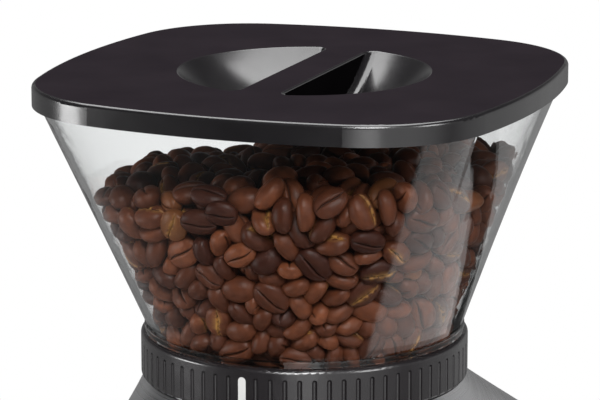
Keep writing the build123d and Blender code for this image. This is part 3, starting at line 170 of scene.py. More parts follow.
def casing_steel(name):
    """Brushed sheet: level lines on the walls, rings on the shoulder."""
    shade = Shade(name, Metallic=1.0)
    split = shade.node("ShaderNodeSeparateXYZ", Vector=shade.coord)
    flat = shade.node("ShaderNodeCombineXYZ", X=split.outputs["X"], Y=split.outputs["Y"])
    radius = shade.node("ShaderNodeVectorMath", Vector=flat.outputs[0])
    radius.operation = "LENGTH"
    rings = shade.node("ShaderNodeCombineXYZ", X=split.outputs["X"], Y=split.outputs["Y"],
                       Z=radius.outputs["Value"])
    normal = shade.tree.nodes.new("ShaderNodeNewGeometry").outputs["Normal"]
    facing = shade.node("ShaderNodeSeparateXYZ", Vector=normal)
    upward = shade.spread(facing.outputs["Z"], 0, 1, first=0.35, last=0.5)
    level_lines = shade.noise(scale=1.0, detail=4, stretch=AROUND)
    ring_lines = shade.noise(scale=1.0, detail=4, stretch=AROUND, vector=rings.outputs[0])
    lines = shade.mix(upward, level_lines, ring_lines)
    shade.feed("Base Color", shade.mix(shade.spread(lines, 0, 1), STEEL_DARK, STEEL_LIGHT))
    shade.feed("Roughness", shade.spread(lines, 0.24, 0.34))
    shade.bump(lines, strength=0.06, distance=0.01 * MM)
    return shade.mat


def clear(name, tint, rough, ior, specular):
    """Clear plastic that lamps and scattered light pass through unbent."""
    shade = Shade(name, Transmission_Weight=1.0, IOR=ior, Specular_IOR_Level=specular)
    deeper = tuple(c * 0.98 for c in tint)
    shade.feed("Base Color", shade.mix(shade.noise(scale=30), tint, deeper))
    shade.feed("Roughness", shade.spread(shade.noise(scale=240, detail=4), *rough))
    path = shade.tree.nodes.new("ShaderNodeLightPath")
    open_tint = (*[0.5 + 0.5 * c for c in tint], 1.0)
    passed = shade.bsdf.outputs[0]
    for ray in ("Is Diffuse Ray", "Is Shadow Ray"):
        mixer = shade.tree.nodes.new("ShaderNodeMixShader")
        window = shade.node("ShaderNodeBsdfTransparent", Color=open_tint)
        shade.link(path.outputs[ray], mixer.inputs[0])
        shade.link(passed, mixer.inputs[1])
        shade.link(window.outputs[0], mixer.inputs[2])
        passed = mixer.outputs[0]
    shade.link(passed, shade.out.inputs["Surface"])
    return shade.mat


BEAN_DARK = (0.034, 0.0088, 0.0047)
BEAN_LIGHT = (0.237, 0.073, 0.03)
BEAN_MOTTLE = (0.054, 0.0155, 0.008)
BEAN_GOLD = (0.27, 0.1, 0.03)
# painted shade for the deep middle of the crease
CREASE_PAINTED_SHADE = (0.012, 0.0045, 0.003)
CHAFF_TAN = (0.6, 0.31, 0.085)


def roasted(name):
    """Roasted beans: each its own tone, painted shade darkening the crease, tan chaff in some creases, a dull
    oily skin.
    """
    shade = Shade(name, Specular_IOR_Level=0.2)
    skin = shade.mix(shade.attribute("tone"), BEAN_DARK, BEAN_LIGHT)
    skin = shade.mix(shade.spread(shade.noise(scale=330, detail=4), 0, 0.6), skin, BEAN_MOTTLE)
    skin = shade.mix(shade.attribute("gold"), skin, BEAN_GOLD)
    # painted shade down the middle of the crease
    skin = shade.mix(shade.attribute("crease_shade"), skin, CREASE_PAINTED_SHADE)
    flakes = shade.spread(shade.noise(scale=600, detail=3), 0, 1, first=0.38, last=0.56)
    skin = shade.mix(times(shade.tree, shade.attribute("chaff"), flakes), skin, CHAFF_TAN)
    shade.feed("Base Color", skin)
    shade.feed("Roughness", shade.spread(shade.noise(scale=260, detail=3), 0.3, 0.5))
    wrinkles = shade.noise(scale=1.0, detail=3, stretch=(420, 420, 420))
    shade.bump(wrinkles, strength=0.5, distance=0.35 * MM)
    return shade.mat


BOARD_DARK = (0.012, 0.09, 0.035)
BOARD_LIGHT = (0.02, 0.14, 0.06)
BOARD_TRACK = (0.05, 0.24, 0.11)


def solder_mask(name):
    """Circuit board: green lacquer over a weave, with paler tracks that stand up a little."""
    shade = Shade(name)
    weave = shade.noise(scale=500)
    upright = shade.node("ShaderNodeMapping", Vector=shade.coord, Rotation=(pi / 2, 0, 0)).outputs[0]
    tracks = shade.tree.nodes.new("ShaderNodeTexBrick")
    shade.link(upright, tracks.inputs["Vector"])
    tracks.inputs["Scale"].default_value = 160
    tracks.inputs["Mortar Size"].default_value = 0.03
    ground = shade.mix(shade.spread(weave, 0, 1), BOARD_DARK, BOARD_LIGHT)
    shade.feed("Base Color", shade.mix(tracks.outputs["Fac"], ground, BOARD_TRACK))
    shade.feed("Roughness", shade.spread(weave, 0.28, 0.42))
    shade.bump(tracks.outputs["Fac"], strength=0.2, distance=0.05 * MM)
    return shade.mat


FELT_DARK = (0.2, 0.18, 0.16)
FELT_LIGHT = (0.46, 0.43, 0.39)


def felt(name):
    """Pressed fibres with a soft sheen."""
    shade = Shade(name, Sheen_Weight=0.4)
    fibres = shade.noise(scale=2600, detail=5)
    shade.feed("Base Color", shade.mix(fibres, FELT_DARK, FELT_LIGHT))
    shade.feed("Roughness", shade.spread(fibres, 0.85, 1.0))
    shade.bump(fibres, strength=0.8, distance=0.4 * MM)
    return shade.mat


# Each row: dark and light colour, roughness, scale of the grain, its depth in mm, specular level
MOULDED = {
    "satin_black": ((0.008, 0.0072, 0.0084), (0.0105, 0.0095, 0.0108), (0.19, 0.24), 2600, 0.006, 0.95),
    "ring_black": ((0.014, 0.012, 0.0135), (0.019, 0.0165, 0.0185), (0.2, 0.26), 2600, 0.006, 0.85),
    "gear_nylon": ((0.66, 0.63, 0.55), (0.78, 0.76, 0.69), (0.38, 0.52), 1500, 0.03, 0.5),
    "inner_plastic": ((0.055, 0.055, 0.058), (0.085, 0.085, 0.09), (0.45, 0.6), 1800, 0.04, 0.5),
    "gloss_black": ((0.012, 0.012, 0.013), (0.02, 0.02, 0.021), (0.08, 0.16), 900, 0.004, 0.5),
    "rubber": ((0.03, 0.03, 0.03), (0.05, 0.05, 0.05), (0.7, 0.85), 1400, 0.06, 0.3),
    "silicone": ((0.46, 0.47, 0.48), (0.56, 0.57, 0.58), (0.45, 0.6), 1400, 0.03, 0.4),
    "white_mark": ((0.78, 0.78, 0.76), (0.86, 0.86, 0.84), (0.3, 0.4), 1800, 0.01, 0.5),
    "lid_flat": ((0.016, 0.013, 0.0158), (0.0195, 0.0157, 0.019), (0.55, 0.62), 2200, 0.03, 0.0),
    # the grip bar's sides: the lid's black made darker, as painted shade
    "bar_side_painted_shade": ((0.0026, 0.0022, 0.0026), (0.0034, 0.003, 0.0034), (0.6, 0.7), 2200, 0.03, 0.0),
    "printed_mark": ((0.72, 0.72, 0.7), (0.8, 0.8, 0.78), (0.4, 0.5), 1600, 0.005, 0.5),
    "printed_ink": ((0.012, 0.012, 0.013), (0.02, 0.02, 0.022), (0.4, 0.5), 1600, 0.005, 0.5),
}
# Each row: dark and light colour, roughness, how closely the lines lie along X, Y and Z, their depth in mm
BRUSHED = {
    "burr_steel": ((0.42, 0.42, 0.43), (0.6, 0.6, 0.61), (0.24, 0.4), (900, 900, 60), 0.02),
    "bright_steel": ((0.6, 0.6, 0.61), (0.74, 0.74, 0.75), (0.16, 0.3), (8, 8, 2400), 0.015),
    "motor_steel": ((0.4, 0.41, 0.43), (0.56, 0.57, 0.58), (0.3, 0.5), (60, 60, 60), 0.04),
    "button_metal": ((0.62, 0.62, 0.63), (0.76, 0.76, 0.77), (0.18, 0.28), (900, 8, 8), 0.015),
}
# Each row: tint, roughness, index of refraction, specular level
CLEAR = {
    "clear_plastic": ((0.97, 0.98, 0.98), (0.0, 0.012), 1.42, 0.75),
    "smoke_plastic": ((0.58, 0.56, 0.545), (0.02, 0.06), 1.45, 0.6),
}
LOOKS = {}
for make_look, rows in ((moulded, MOULDED), (brushed, BRUSHED), (clear, CLEAR)):
    for look_name, row in rows.items():
        LOOKS[look_name] = make_look(look_name, *row)
LOOKS["casing_steel"] = casing_steel("casing_steel")
LOOKS["board_green"] = solder_mask("board_green")
LOOKS["felt"] = felt("felt")
LOOKS["roasted_bean"] = roasted("roasted_bean")

# Dressing the CAD nodes and adding pieces

LEVEL = 0.999  # a face whose normal is this near to upright is level
SIDEWAYS = 0.99
TOP_DEPTH = 0.1 * MM
BAR_REACH = 10 * MM  # the grip bar's sides are nearer to the middle than this


def dress_nodes():
    """Each CAD node takes the look of its slot; the lid's top is duller and its bar's sides get painted
    shade, a darker copy of its black.
    """
    slots = {}
    for part in frame["record"]["subparts"]:
        slots[part["node"]] = part["material_slot"]
    for name, piece in NODES.items():
        piece.data.materials.clear()
        piece.data.materials.append(LOOKS[slots[name]])
    lid = NODES["hopper_lid"].data
    lid.materials.append(LOOKS["lid_flat"])
    lid.materials.append(LOOKS["bar_side_painted_shade"])
    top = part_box("hopper_lid")[1].z
    for face in lid.polygons:
        if face.normal.z > LEVEL and face.center.z > top - TOP_DEPTH:
            face.material_index = 1
        elif abs(face.normal.x) > SIDEWAYS and abs(face.center.x) < BAR_REACH:
            # painted shade: the bar's sides take a darker black
            face.material_index = 2


def new_piece(name, vertices, faces, look, body, smooth=True):
    mesh = bpy.data.meshes.new(name)
    mesh.from_pydata(vertices, [], faces)
    mesh.materials.append(LOOKS[look])
    mesh.polygons.foreach_set("use_smooth", [smooth] * len(mesh.polygons))
    piece = bpy.data.objects.new(name, mesh)
    bpy.context.scene.collection.objects.link(piece)
    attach(piece, body)
    return piece


def tree_of(*names):
    """The surfaces of some nodes together, to send rays at."""
    points, faces = [], []
    for name in names:
        mesh = NODES[name].data
        first = len(points)
        points += [v.co.copy() for v in mesh.vertices]
        faces += [[first + i for i in p.vertices] for p in mesh.polygons]
    return BVHTree.FromPolygons(points, faces)


# The photo's view, which the heap and the lights also follow

VIEW_TURN = radians(21.57)
VIEW_DOWN = 13.19
FORWARD = np.array([-sin(VIEW_TURN), cos(VIEW_TURN)])
RIGHTWARD = np.array([cos(VIEW_TURN), sin(VIEW_TURN)])

# Hopper wall

AXIS_LOW, AXIS_HIGH = 0.2235, 0.293  # levels between which the inside is measured
WALL_TURNS, WALL_LEVELS = 96, 24
TOP_SHARE = 0.999
WALL_AIR = 0.2 * MM  # least gap from a bean to the wall
WALL_TRIES = 3


def wall_table():
    """Inner radius of the hopper by turn and level, measured by rays from its axis."""
    tree = tree_of("bean_hopper")
    levels = np.linspace(AXIS_LOW, AXIS_HIGH, WALL_LEVELS)
    radius = np.zeros((WALL_LEVELS, WALL_TURNS))
    for i, z in enumerate(levels):
        for k in range(WALL_TURNS):
            turn = 2 * pi * k / WALL_TURNS
            hit = tree.ray_cast(Vector((0, 0, z)), Vector((cos(turn), sin(turn), 0)))
            radius[i, k] = hit[3] if hit[0] else radius[i - 1, k]
    return radius


def wall_gap(points, table):
    """Distance from each point to the hopper wall, and the way back in."""
    rho = np.hypot(points[:, 0], points[:, 1]) + TINY
    turn = (np.arctan2(points[:, 1], points[:, 0]) / (2 * pi) % 1) * WALL_TURNS
    share = np.clip((points[:, 2] - AXIS_LOW) / (AXIS_HIGH - AXIS_LOW), 0, TOP_SHARE)
    level = share * (WALL_LEVELS - 1)
    k, i = turn.astype(int) % WALL_TURNS, level.astype(int)
    s, t = turn - np.floor(turn), level - i
    k1 = (k + 1) % WALL_TURNS
    a, b, c, d = table[i, k], table[i, k1], table[i + 1, k], table[i + 1, k1]
    radius = (a * (1 - s) + b * s) * (1 - t) + (c * (1 - s) + d * s) * t
    by_turn = ((b - a) * (1 - t) + (d - c) * t) * WALL_TURNS / (2 * pi) / rho
    by_level = ((c - a) * (1 - s) + (d - b) * s) * (WALL_LEVELS - 1) / (AXIS_HIGH - AXIS_LOW)
    out = points[:, :2] / rho[:, None]
    side = np.stack([-out[:, 1], out[:, 0]], 1)
    normal = np.concatenate([out - side * by_turn[:, None], -by_level[:, None]], 1)
    size = np.linalg.norm(normal, axis=1)
    return (radius - rho) / size, -normal / size[:, None]


def keep_off_wall(centre, points, table):
    """Where a bean's centre goes, so that no point of it reaches the hopper wall."""
    moved = np.zeros(3)
    for _ in range(WALL_TRIES):
        gap, inward = wall_gap(points + moved, table)
        worst = int(np.argmin(gap))
        moved = moved + inward[worst] * max(WALL_AIR - gap[worst], 0)
    return centre + moved


# Heap of beans, across and back as the photo's view has them

HEAP_TOP = 0.2755
HEAP_EDGE = 0.01  # width over which the heap steps up or down
HUMP_RISE = 3.5 * MM  # a step up from the left part to the middle
HUMP_START = -0.018
CORNER_DROP = 5.5 * MM  # a step down at the right
CORNER_START = 0.036
BACK_FALL = 0.2  # slope down towards the far side
BACK_FALL_END = 0.055
BACK_FALL_EDGE = 0.03
LEFT_FALL = 0.36  # slope down towards the left corner
LEFT_FALL_START = -0.04
WAVE_RISE = 1.6 * MM
WAVE_X = (95, 1.3)  # rate and start of the unevenness along X
WAVE_Y = (110, -0.6)


def heap_level(points):
    """Height that the beans are filled to above each point, a little uneven."""
    back = points[:, :2] @ FORWARD
    across = points[:, :2] @ RIGHTWARD
    along = points[:, 0] * WAVE_X[0] + WAVE_X[1]
    aside = points[:, 1] * WAVE_Y[0] + WAVE_Y[1]
    wave = WAVE_RISE * np.sin(along) * np.cos(aside)
    hump = HUMP_RISE * np.clip((across - HUMP_START) / HEAP_EDGE, 0, 1)
    slump = LEFT_FALL * np.maximum(LEFT_FALL_START - across, 0)
    fall = BACK_FALL * np.maximum(back, 0) * np.clip((BACK_FALL_END - across) / BACK_FALL_EDGE, 0, 1)
    corner = CORNER_DROP * np.clip((across - CORNER_START) / HEAP_EDGE, 0, 1)
    return HEAP_TOP - fall + wave + hump - slump - corner


# Packing the beans

BEAN_SPHERES = np.array([(0, 0, 0.5), (-2.4, 0, 0.2), (2.4, 0, 0.2), (0, -1.15, 0.1), (0, 1.15, 0.1)]) * MM
BEAN_RADII = np.array([3.0, 2.55, 2.55, 2.7, 2.7]) * MM
BALLS = len(BEAN_SPHERES)
BEAN_COUNT = 1600
BEAN_SCALE = (0.95, 1.15)
START_BATCH = 4000
START_REACH = 0.072
START_AIR = 4 * MM  # least gap from a first place to the wall
START_DEEP = 3 * MM  # and to the heap's top
START_SCALE = 0.5
GROW_ROUNDS = 90
PACK_ROUNDS = 160
PAIR_ROUNDS = 5  # rounds after which the near pairs are listed again
PAIR_REACH = 14.5 * MM
PUSH_GAIN = 1.5
TOP_GAIN = 0.5
SINK = 0.03 * MM  # how far the beans sink in each round of growth
BALL_AIR = 0.25 * MM
GRID = 2.5 * MM  # grid of heights under the beans
GRID_CELLS = int(0.06 / GRID)
GRID_TOP = 0.26
SHOWN_DEPTH = 16 * MM  # beans that lie deeper than this are left out
FINE_DEPTH = 9.5 * MM  # beans that lie less deep than this are fine


def random_turns(rng, count):
    """Random rotations, as matrices."""
    q = rng.normal(size=(count, 4))
    q /= np.linalg.norm(q, axis=1)[:, None]
    w, x, y, z = q.T
    rows = [1 - 2 * (y * y + z * z), 2 * (x * y - w * z), 2 * (x * z + w * y),
            2 * (x * y + w * z), 1 - 2 * (x * x + z * z), 2 * (y * z - w * x),
            2 * (x * z - w * y), 2 * (y * z + w * x), 1 - 2 * (x * x + y * y)]
    return np.stack(rows, 1).reshape(-1, 3, 3)


def near_pairs(centres, reach):
    pairs = []
    for i in range(len(centres) - 1):
        close = np.nonzero(np.sum((centres[i + 1:] - centres[i]) ** 2, axis=1) < reach * reach)[0]
        pairs.append(np.stack([np.full(len(close), i), close + i + 1], 1))
    return np.concatenate(pairs)


def first_places(rng, table):
    """Random centres inside the hopper and below the heap's top."""
    low = (-START_REACH, -START_REACH, AXIS_LOW)
    high = (START_REACH, START_REACH, HEAP_TOP)
    centres = np.zeros((0, 3))
    while len(centres) < BEAN_COUNT:
        spots = rng.uniform(low, high, (START_BATCH, 3))
        inside = (wall_gap(spots, table)[0] > START_AIR) & (spots[:, 2] < heap_level(spots) - START_DEEP)
        centres = np.concatenate([centres, spots[inside]])[:BEAN_COUNT]
    return centres


def floor_heights():
    """Heights of the funnel and the finger guard, on a square grid."""
    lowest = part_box("finger_guard")[1].z
    tree = tree_of("bean_hopper", "finger_guard")
    heights = np.full((2 * GRID_CELLS + 1, 2 * GRID_CELLS + 1), lowest)
    for a in range(-GRID_CELLS, GRID_CELLS + 1):
        for b in range(-GRID_CELLS, GRID_CELLS + 1):
            hit = tree.ray_cast(Vector((a * GRID, b * GRID, GRID_TOP)), Vector((0, 0, -1)))[0]
            if hit:
                heights[a + GRID_CELLS, b + GRID_CELLS] = max(hit.z, lowest)
    return heights


def pushed_apart(points, radii, pairs):
    """Where the balls go when those of different beans push each other apart."""
    push = np.zeros((BEAN_COUNT * BALLS, 3))
    gap = points[pairs[:, 0]][:, :, None] - points[pairs[:, 1]][:, None]
    size = np.sqrt(np.sum(gap * gap, axis=3)) + TINY
    deep = radii[pairs[:, 0]][:, :, None] + radii[pairs[:, 1]][:, None] - size
    where = np.nonzero(deep > 0)
    shift = gap[where] * (0.5 * deep[where] / size[where])[:, None]
    first = pairs[where[0], 0] * BALLS + where[1]
    second = pairs[where[0], 1] * BALLS + where[2]
    for axis in range(3):
        push[:, axis] += np.bincount(first, shift[:, axis], len(push))
        push[:, axis] -= np.bincount(second, shift[:, axis], len(push))
    hits = np.bincount(first, minlength=len(push)) + np.bincount(second, minlength=len(push))
    return points.reshape(-1, 3) + push / np.maximum(hits, 1)[:, None] * PUSH_GAIN


def kept_inside(spots, radii, table, heights):
    """Balls moved below the heap's top, off the hopper wall and up from what is under them."""
    spots[:, 2] -= TOP_GAIN * np.maximum(spots[:, 2] + radii - heap_level(spots), 0)
    for _ in range(2):
        gap, inward = wall_gap(spots, table)
        spots += inward * np.maximum(radii + BALL_AIR - gap, 0)[:, None]
        cell = np.clip(np.rint(spots[:, :2] / GRID).astype(int) + GRID_CELLS, 0, 2 * GRID_CELLS)
        spots[:, 2] += np.maximum(heights[cell[:, 0], cell[:, 1]] + radii - spots[:, 2], 0)
    return spots


def rigid_move(spots, arms):
    """The turn of each bean that fits its balls' new places best, and its new centre."""
    old_middle = arms.mean(axis=1)
    new_middle = spots.mean(axis=1)
    spin = np.einsum("nsi,nsj->nij", spots - new_middle[:, None], arms - old_middle[:, None])
    u, _, vt = np.linalg.svd(spin)
    u[:, :, 2] *= np.linalg.det(u @ vt)[:, None]
    turn = u @ vt
    return turn, new_middle - np.einsum("nij,nj->ni", turn, old_middle)


def pack_beans(rng, table):
    """Beans as rigid clusters of balls that grow while they push each other and the walls apart."""
    centres = first_places(rng, table)
    turns = random_turns(rng, BEAN_COUNT)
    scale = rng.uniform(*BEAN_SCALE, BEAN_COUNT)
    heights = floor_heights()
    for step in range(PACK_ROUNDS):
        grown = min(1.0, START_SCALE + (1 - START_SCALE) * step / GROW_ROUNDS) * scale
        arms = np.einsum("nij,sj->nsi", turns, BEAN_SPHERES) * grown[:, None, None]
        radii = BEAN_RADII[None] * grown[:, None]
        if step % PAIR_ROUNDS == 0:
            pairs = near_pairs(centres, PAIR_REACH)
        spots = pushed_apart(centres[:, None] + arms, radii, pairs)
        if step < GROW_ROUNDS:
            spots[:, 2] -= SINK
        spots = kept_inside(spots, radii.reshape(-1), table, heights)
        turn, centres = rigid_move(spots.reshape(-1, BALLS, 3), arms)
        turns = turn @ turns
    gap, _ = wall_gap(centres, table)
    depth = np.minimum(gap, heap_level(centres) - centres[:, 2])
    shown = depth < SHOWN_DEPTH
    return centres[shown], turns[shown], scale[shown], depth[shown] < FINE_DEPTH


# Shape of a bean

BEAN_LONG = 5.2 * MM  # half sizes of a middling bean
BEAN_WIDE = 4.0 * MM
BEAN_BACK = 3.7 * MM  # from the widest line to the round back
BEAN_FLAT = 2.2 * MM  # from the widest line to the creased face
TIP_POWER = 0.82  # how full the bean is towards its tips
BACK_POWER = 0.92  # how round its back is
FACE_POWERS = (2.6, 0.55)  # how its face bends down to the edge
CREASE_BEND = 0.1
CREASE_WAVES = 2.6
CREASE_WIDTH = 0.062
CREASE_DEPTH = 0.5
# how strongly painted shade darkens the crease's middle
CREASE_SHADE_STRENGTH = 0.8
CHAFF_WIDTH = 0.2
# Each form: rings, places across half the face, points on the back
FINE_FORM = (11, (0.045, 0.1, 0.22, 0.5, 0.78, 0.95), 10)
PLAIN_FORM = (7, (0.1, 0.5, 0.9), 6)


def bean_form(ring_count, half_face, back_count):
    """Points, faces, painted crease shade and chaff of one bean: round back, domed face with a bent crease.
    """
    rings = np.radians(np.linspace(-90, 90, ring_count + 2))[1:-1]
    across = np.array([-y for y in half_face[::-1]] + [0.0] + list(half_face))
    back = np.radians(np.linspace(0, 180, back_count))
    points, crease_shade, chaff = [], [], []
    for ring in rings:
        x = sin(ring)
        width = cos(ring) ** TIP_POWER
        bend = CREASE_BEND * sin(CREASE_WAVES * x)
        for turn in back:
            points.append((x, width * cos(turn), width * max(sin(turn), 0) ** BACK_POWER))
            crease_shade.append(0.0)
            chaff.append(0.0)
        for y in across:
            dome = (1 - abs(y) ** FACE_POWERS[0]) ** FACE_POWERS[1]
            dip = np.exp(-((y / CREASE_WIDTH) ** 2)) * (1 - x**6)
            points.append((x, width * (y + bend * (1 - y * y)), -width * (dome - CREASE_DEPTH * dip)))
            # painted shade along the crease, strongest where it dips deepest
            crease_shade.append(CREASE_SHADE_STRENGTH * float(dip))
            chaff.append(float(np.exp(-((y / CHAFF_WIDTH) ** 4)) * (1 - x**4)))
    points = np.array(points)
    height = np.where(points[:, 2] > 0, BEAN_BACK, BEAN_FLAT)
    size = np.stack([np.full(len(height), BEAN_LONG), np.full(len(height), BEAN_WIDE), height], 1)
    tip = len(points)
    points = np.concatenate([points * size, [(-BEAN_LONG, 0, 0), (BEAN_LONG, 0, 0)]])
    crease_shade, chaff = np.append(crease_shade, [0, 0]), np.append(chaff, [0, 0])
    column = len(back) + len(across)
    last = (len(rings) - 1) * column
    faces = []
    for start in range(0, last, column):
        for k in range(column):
            n = (k + 1) % column
            faces.append((start + k, start + n, start + column + n, start + column + k))
    for k in range(column):
        n = (k + 1) % column
        faces.append((tip, n, k))
        faces.append((tip + 1, last + k, last + n))
    return points, faces, crease_shade, chaff


# Making the beans

BEAN_PIECES = 6
TONE = (0.42, 0.3)  # middle and spread, from the dark to the light colour
CHAFF_SHARE = 0.35
CHAFF_RANGE = (0.4, 1)
GOLD_SHARE = 0.04
GOLD_RANGE = (0.15, 0.5)
SHAPE_LOW = (0.94, 0.92, 0.9)  # beans differ in length, width and height
SHAPE_HIGH = (1.06, 1.06, 1.1)
FACE_OUT = 0.45  # share of the beans with their backs outwards that are turned over, to show the crease


def make_beans():
    """Fine beans where they show and plainer ones in the gaps behind, in six pieces round the hopper."""
    rng = np.random.default_rng(SEED)
    table = wall_table()
    centres, turns, scale, outer = pack_beans(rng, table)
    fine = bean_form(*FINE_FORM)
    plain = bean_form(*PLAIN_FORM)
    total = len(centres)
    tone = np.clip(rng.normal(*TONE, total), 0, 1)
    chaffed = np.where(rng.random(total) < CHAFF_SHARE, rng.uniform(*CHAFF_RANGE, total), 0)
    gold = np.where(rng.random(total) < GOLD_SHARE, rng.uniform(*GOLD_RANGE, total), 0)
    shape = rng.uniform(SHAPE_LOW, SHAPE_HIGH, (total, 3))
    back_out = np.sum(turns[:, :2, 2] * centres[:, :2], axis=1) > 0
    turned = back_out & (rng.random(total) < FACE_OUT)
    turns[turned] *= (1, -1, -1)
    sector = (np.arctan2(centres[:, 1], centres[:, 0]) / (2 * pi) % 1 * BEAN_PIECES).astype(int)
    for piece_index in range(BEAN_PIECES):
        vertices, faces = [], []
        layers = {"tone": [], "gold": [], "crease_shade": [], "chaff": []}
        for n in np.nonzero(sector == piece_index)[0]:
            points, form_faces, crease_shade, chaff = fine if outer[n] else plain
            first = len(vertices)
            placed = (points * scale[n] * shape[n]) @ turns[n].T
            vertices += (placed + keep_off_wall(centres[n], placed + centres[n], table)).tolist()
            faces += [tuple(first + i for i in f) for f in form_faces]
            layers["tone"].append(np.full(len(points), tone[n]))
            layers["gold"].append(np.full(len(points), gold[n]))
            layers["crease_shade"].append(crease_shade)
            layers["chaff"].append(chaff * chaffed[n])
        piece = new_piece(f"beans_{piece_index + 1}", vertices, faces, "roasted_bean", "hopper")
        for label, values in layers.items():
            layer = piece.data.attributes.new(label, "FLOAT", "POINT")
            layer.data.foreach_set("value", np.concatenate(values).astype(np.float32))


# Printed marks

DOT_SIDES = 20
PRINT_LIFT = 0.05 * MM
DIAL_DOTS = 11
DIAL_STEP = radians(30)
DIAL_R = 22 * MM
DIAL_DOT_MM = (0.3, 0.045)  # radius of the first dot, and what each next one adds
DIAL_FROM = 0.05  # how far in front of the knob the dots are projected from
SCALE_DOTS = 9
SCALE_TURN = radians(54)  # the ring's travel to each side
SCALE_BELOW = 6 * MM
SCALE_DOT_MM = (0.5, 0.11)
SCALE_FROM = 0.15  # how far from the axis the dots are projected from


def print_dots(name, node, dots, look):
    """Round dots laid on a node's surface: each is a start point, the way to the surface and a radius."""
    tree = tree_of(node)
    vertices, faces = [], []
    for start, way, radius in dots:
        side = way.cross(Vector((0, 0, 1))).normalized()
        up = side.cross(way)
        first = len(vertices)
        for k in range(DOT_SIDES + 1):
            reach = radius if k else 0
            turn = 2 * pi * k / DOT_SIDES
            hit = tree.ray_cast(start + (side * cos(turn) + up * sin(turn)) * reach, way)
            vertices.append(hit[0] - way * PRINT_LIFT)
        for k in range(DOT_SIDES):
            faces.append((first, first + 1 + k, first + 1 + (k + 1) % DOT_SIDES))
    new_piece(name, vertices, faces, look, "housing", False)


def make_marks():
    """Dots that grow with the time round the dial, and with the setting under the ring."""
    low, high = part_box("timer_knob")
    middle = (low + high) / 2
    dial = []
    for n in range(DIAL_DOTS):
        spot = Vector((sin(n * DIAL_STEP), 0, cos(n * DIAL_STEP))) * DIAL_R
        start = Vector((middle.x, low.y - DIAL_FROM, middle.z)) + spot
        dial.append((start, Vector((0, 1, 0)), (DIAL_DOT_MM[0] + DIAL_DOT_MM[1] * n) * MM))
    print_dots("dial_dots", "front_fascia", dial, "printed_mark")
    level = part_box("steel_casing")[1].z - SCALE_BELOW
    scale = []
    for n in range(SCALE_DOTS):
        turn = SCALE_TURN * (2 * n / (SCALE_DOTS - 1) - 1)
        out = Vector((sin(turn), -cos(turn), 0))
        start = Vector((0, 0, level)) + out * SCALE_FROM
        scale.append((start, -out, (SCALE_DOT_MM[0] + SCALE_DOT_MM[1] * n) * MM))
    print_dots("setting_dots", "steel_casing", scale, "printed_ink")


# Floor and surroundings

AMBIENT = 0.045
MIRROR_ROOM = 0.055  # how bright the room is in mirrors, where no wall is
MIRROR_FLOOR = 0.02
WALL_TOP = (0.15, 0.35)  # rise at which the walls start to fade, and where they end
MIRROR_BACK = 0.18  # wall behind the object
BACK_WAY = (*FORWARD, 0)
BACK_EDGE = (0.3, 0.7)  # where a wall starts and is full, by how nearly a direction points its way
MIRROR_WALL = 0.42  # wall behind it to the right
WALL_WAY = (0.64, 0.77, 0)
WALL_EDGE = (0.6, 0.9)
MIRROR_LEFT = 0.22  # wall and floor to its left
LEFT_WAY = (-1, 0, 0)
LEFT_EDGE = (0.35, 0.8)
LEFT_FLOOR = (-0.12, -0.45)
MIRROR_FAR = 0.3  # floor further out, in front
FAR_FLOOR = (0.27, 0.5)
FAR_AHEAD = (0.02, -0.12)
MIRROR_SIDE = 0.8  # tall panel in front to the right, cut off on its left
SIDE_WAY = (0.655, -0.755, 0)
SIDE_EDGE = (0.5, 0.92)
SIDE_CUT = (-0.24, -0.06)
CARD = ((0.11, 0.41), (-0.04, 0.42))  # a white card on the floor, which the hopper mirrors
CARD_EDGE = 0.012
MIRROR_CARD = (0.95, 0.5)  # at its near edge and its far edge
FLOOR_R = 0.62
FLOOR_SIDES = 96
FLOOR_GREY = (0.72, 0.72, 0.72, 1)
FLOOR_FADE = (0.22, FLOOR_R * 0.95)
WHITE = (1, 1, 1, 1)


def towards(tree, direction, way):
    """How nearly a direction points a given way."""
    made = tree.nodes.new("ShaderNodeVectorMath")
    made.operation = "DOT_PRODUCT"
    tree.links.new(direction, made.inputs[0])
    made.inputs[1].default_value = way
    return made.outputs["Value"]


def ray_kinds(tree):
    """Rays that see straight or through clear plastic, rays that see in a mirror, and scattered ones."""
    path = tree.nodes.new("ShaderNodeLightPath")
    mirrored = times(tree, path.outputs["Is Glossy Ray"], path.outputs["Glossy Depth"])
    mirrored = graded(tree, mirrored, 0, 1, 0, 1)
    straight = larger_of(tree, path.outputs["Is Camera Ray"], path.outputs["Is Transmission Ray"])
    straight = times(tree, straight, graded(tree, mirrored, 0, 1, 1, 0))
    return straight, mirrored, path.outputs["Is Diffuse Ray"]


def card_share(tree, place):
    """One on the card, nothing off it, from the X and Y of a place on the floor."""
    share = None
    for axis, (low, high) in zip("XY", CARD):
        for edge, inward in ((low, CARD_EDGE), (high, -CARD_EDGE)):
            side = graded(tree, place[axis], edge, edge + inward, 0, 1)
            share = times(tree, share, side) if share else side
    return share


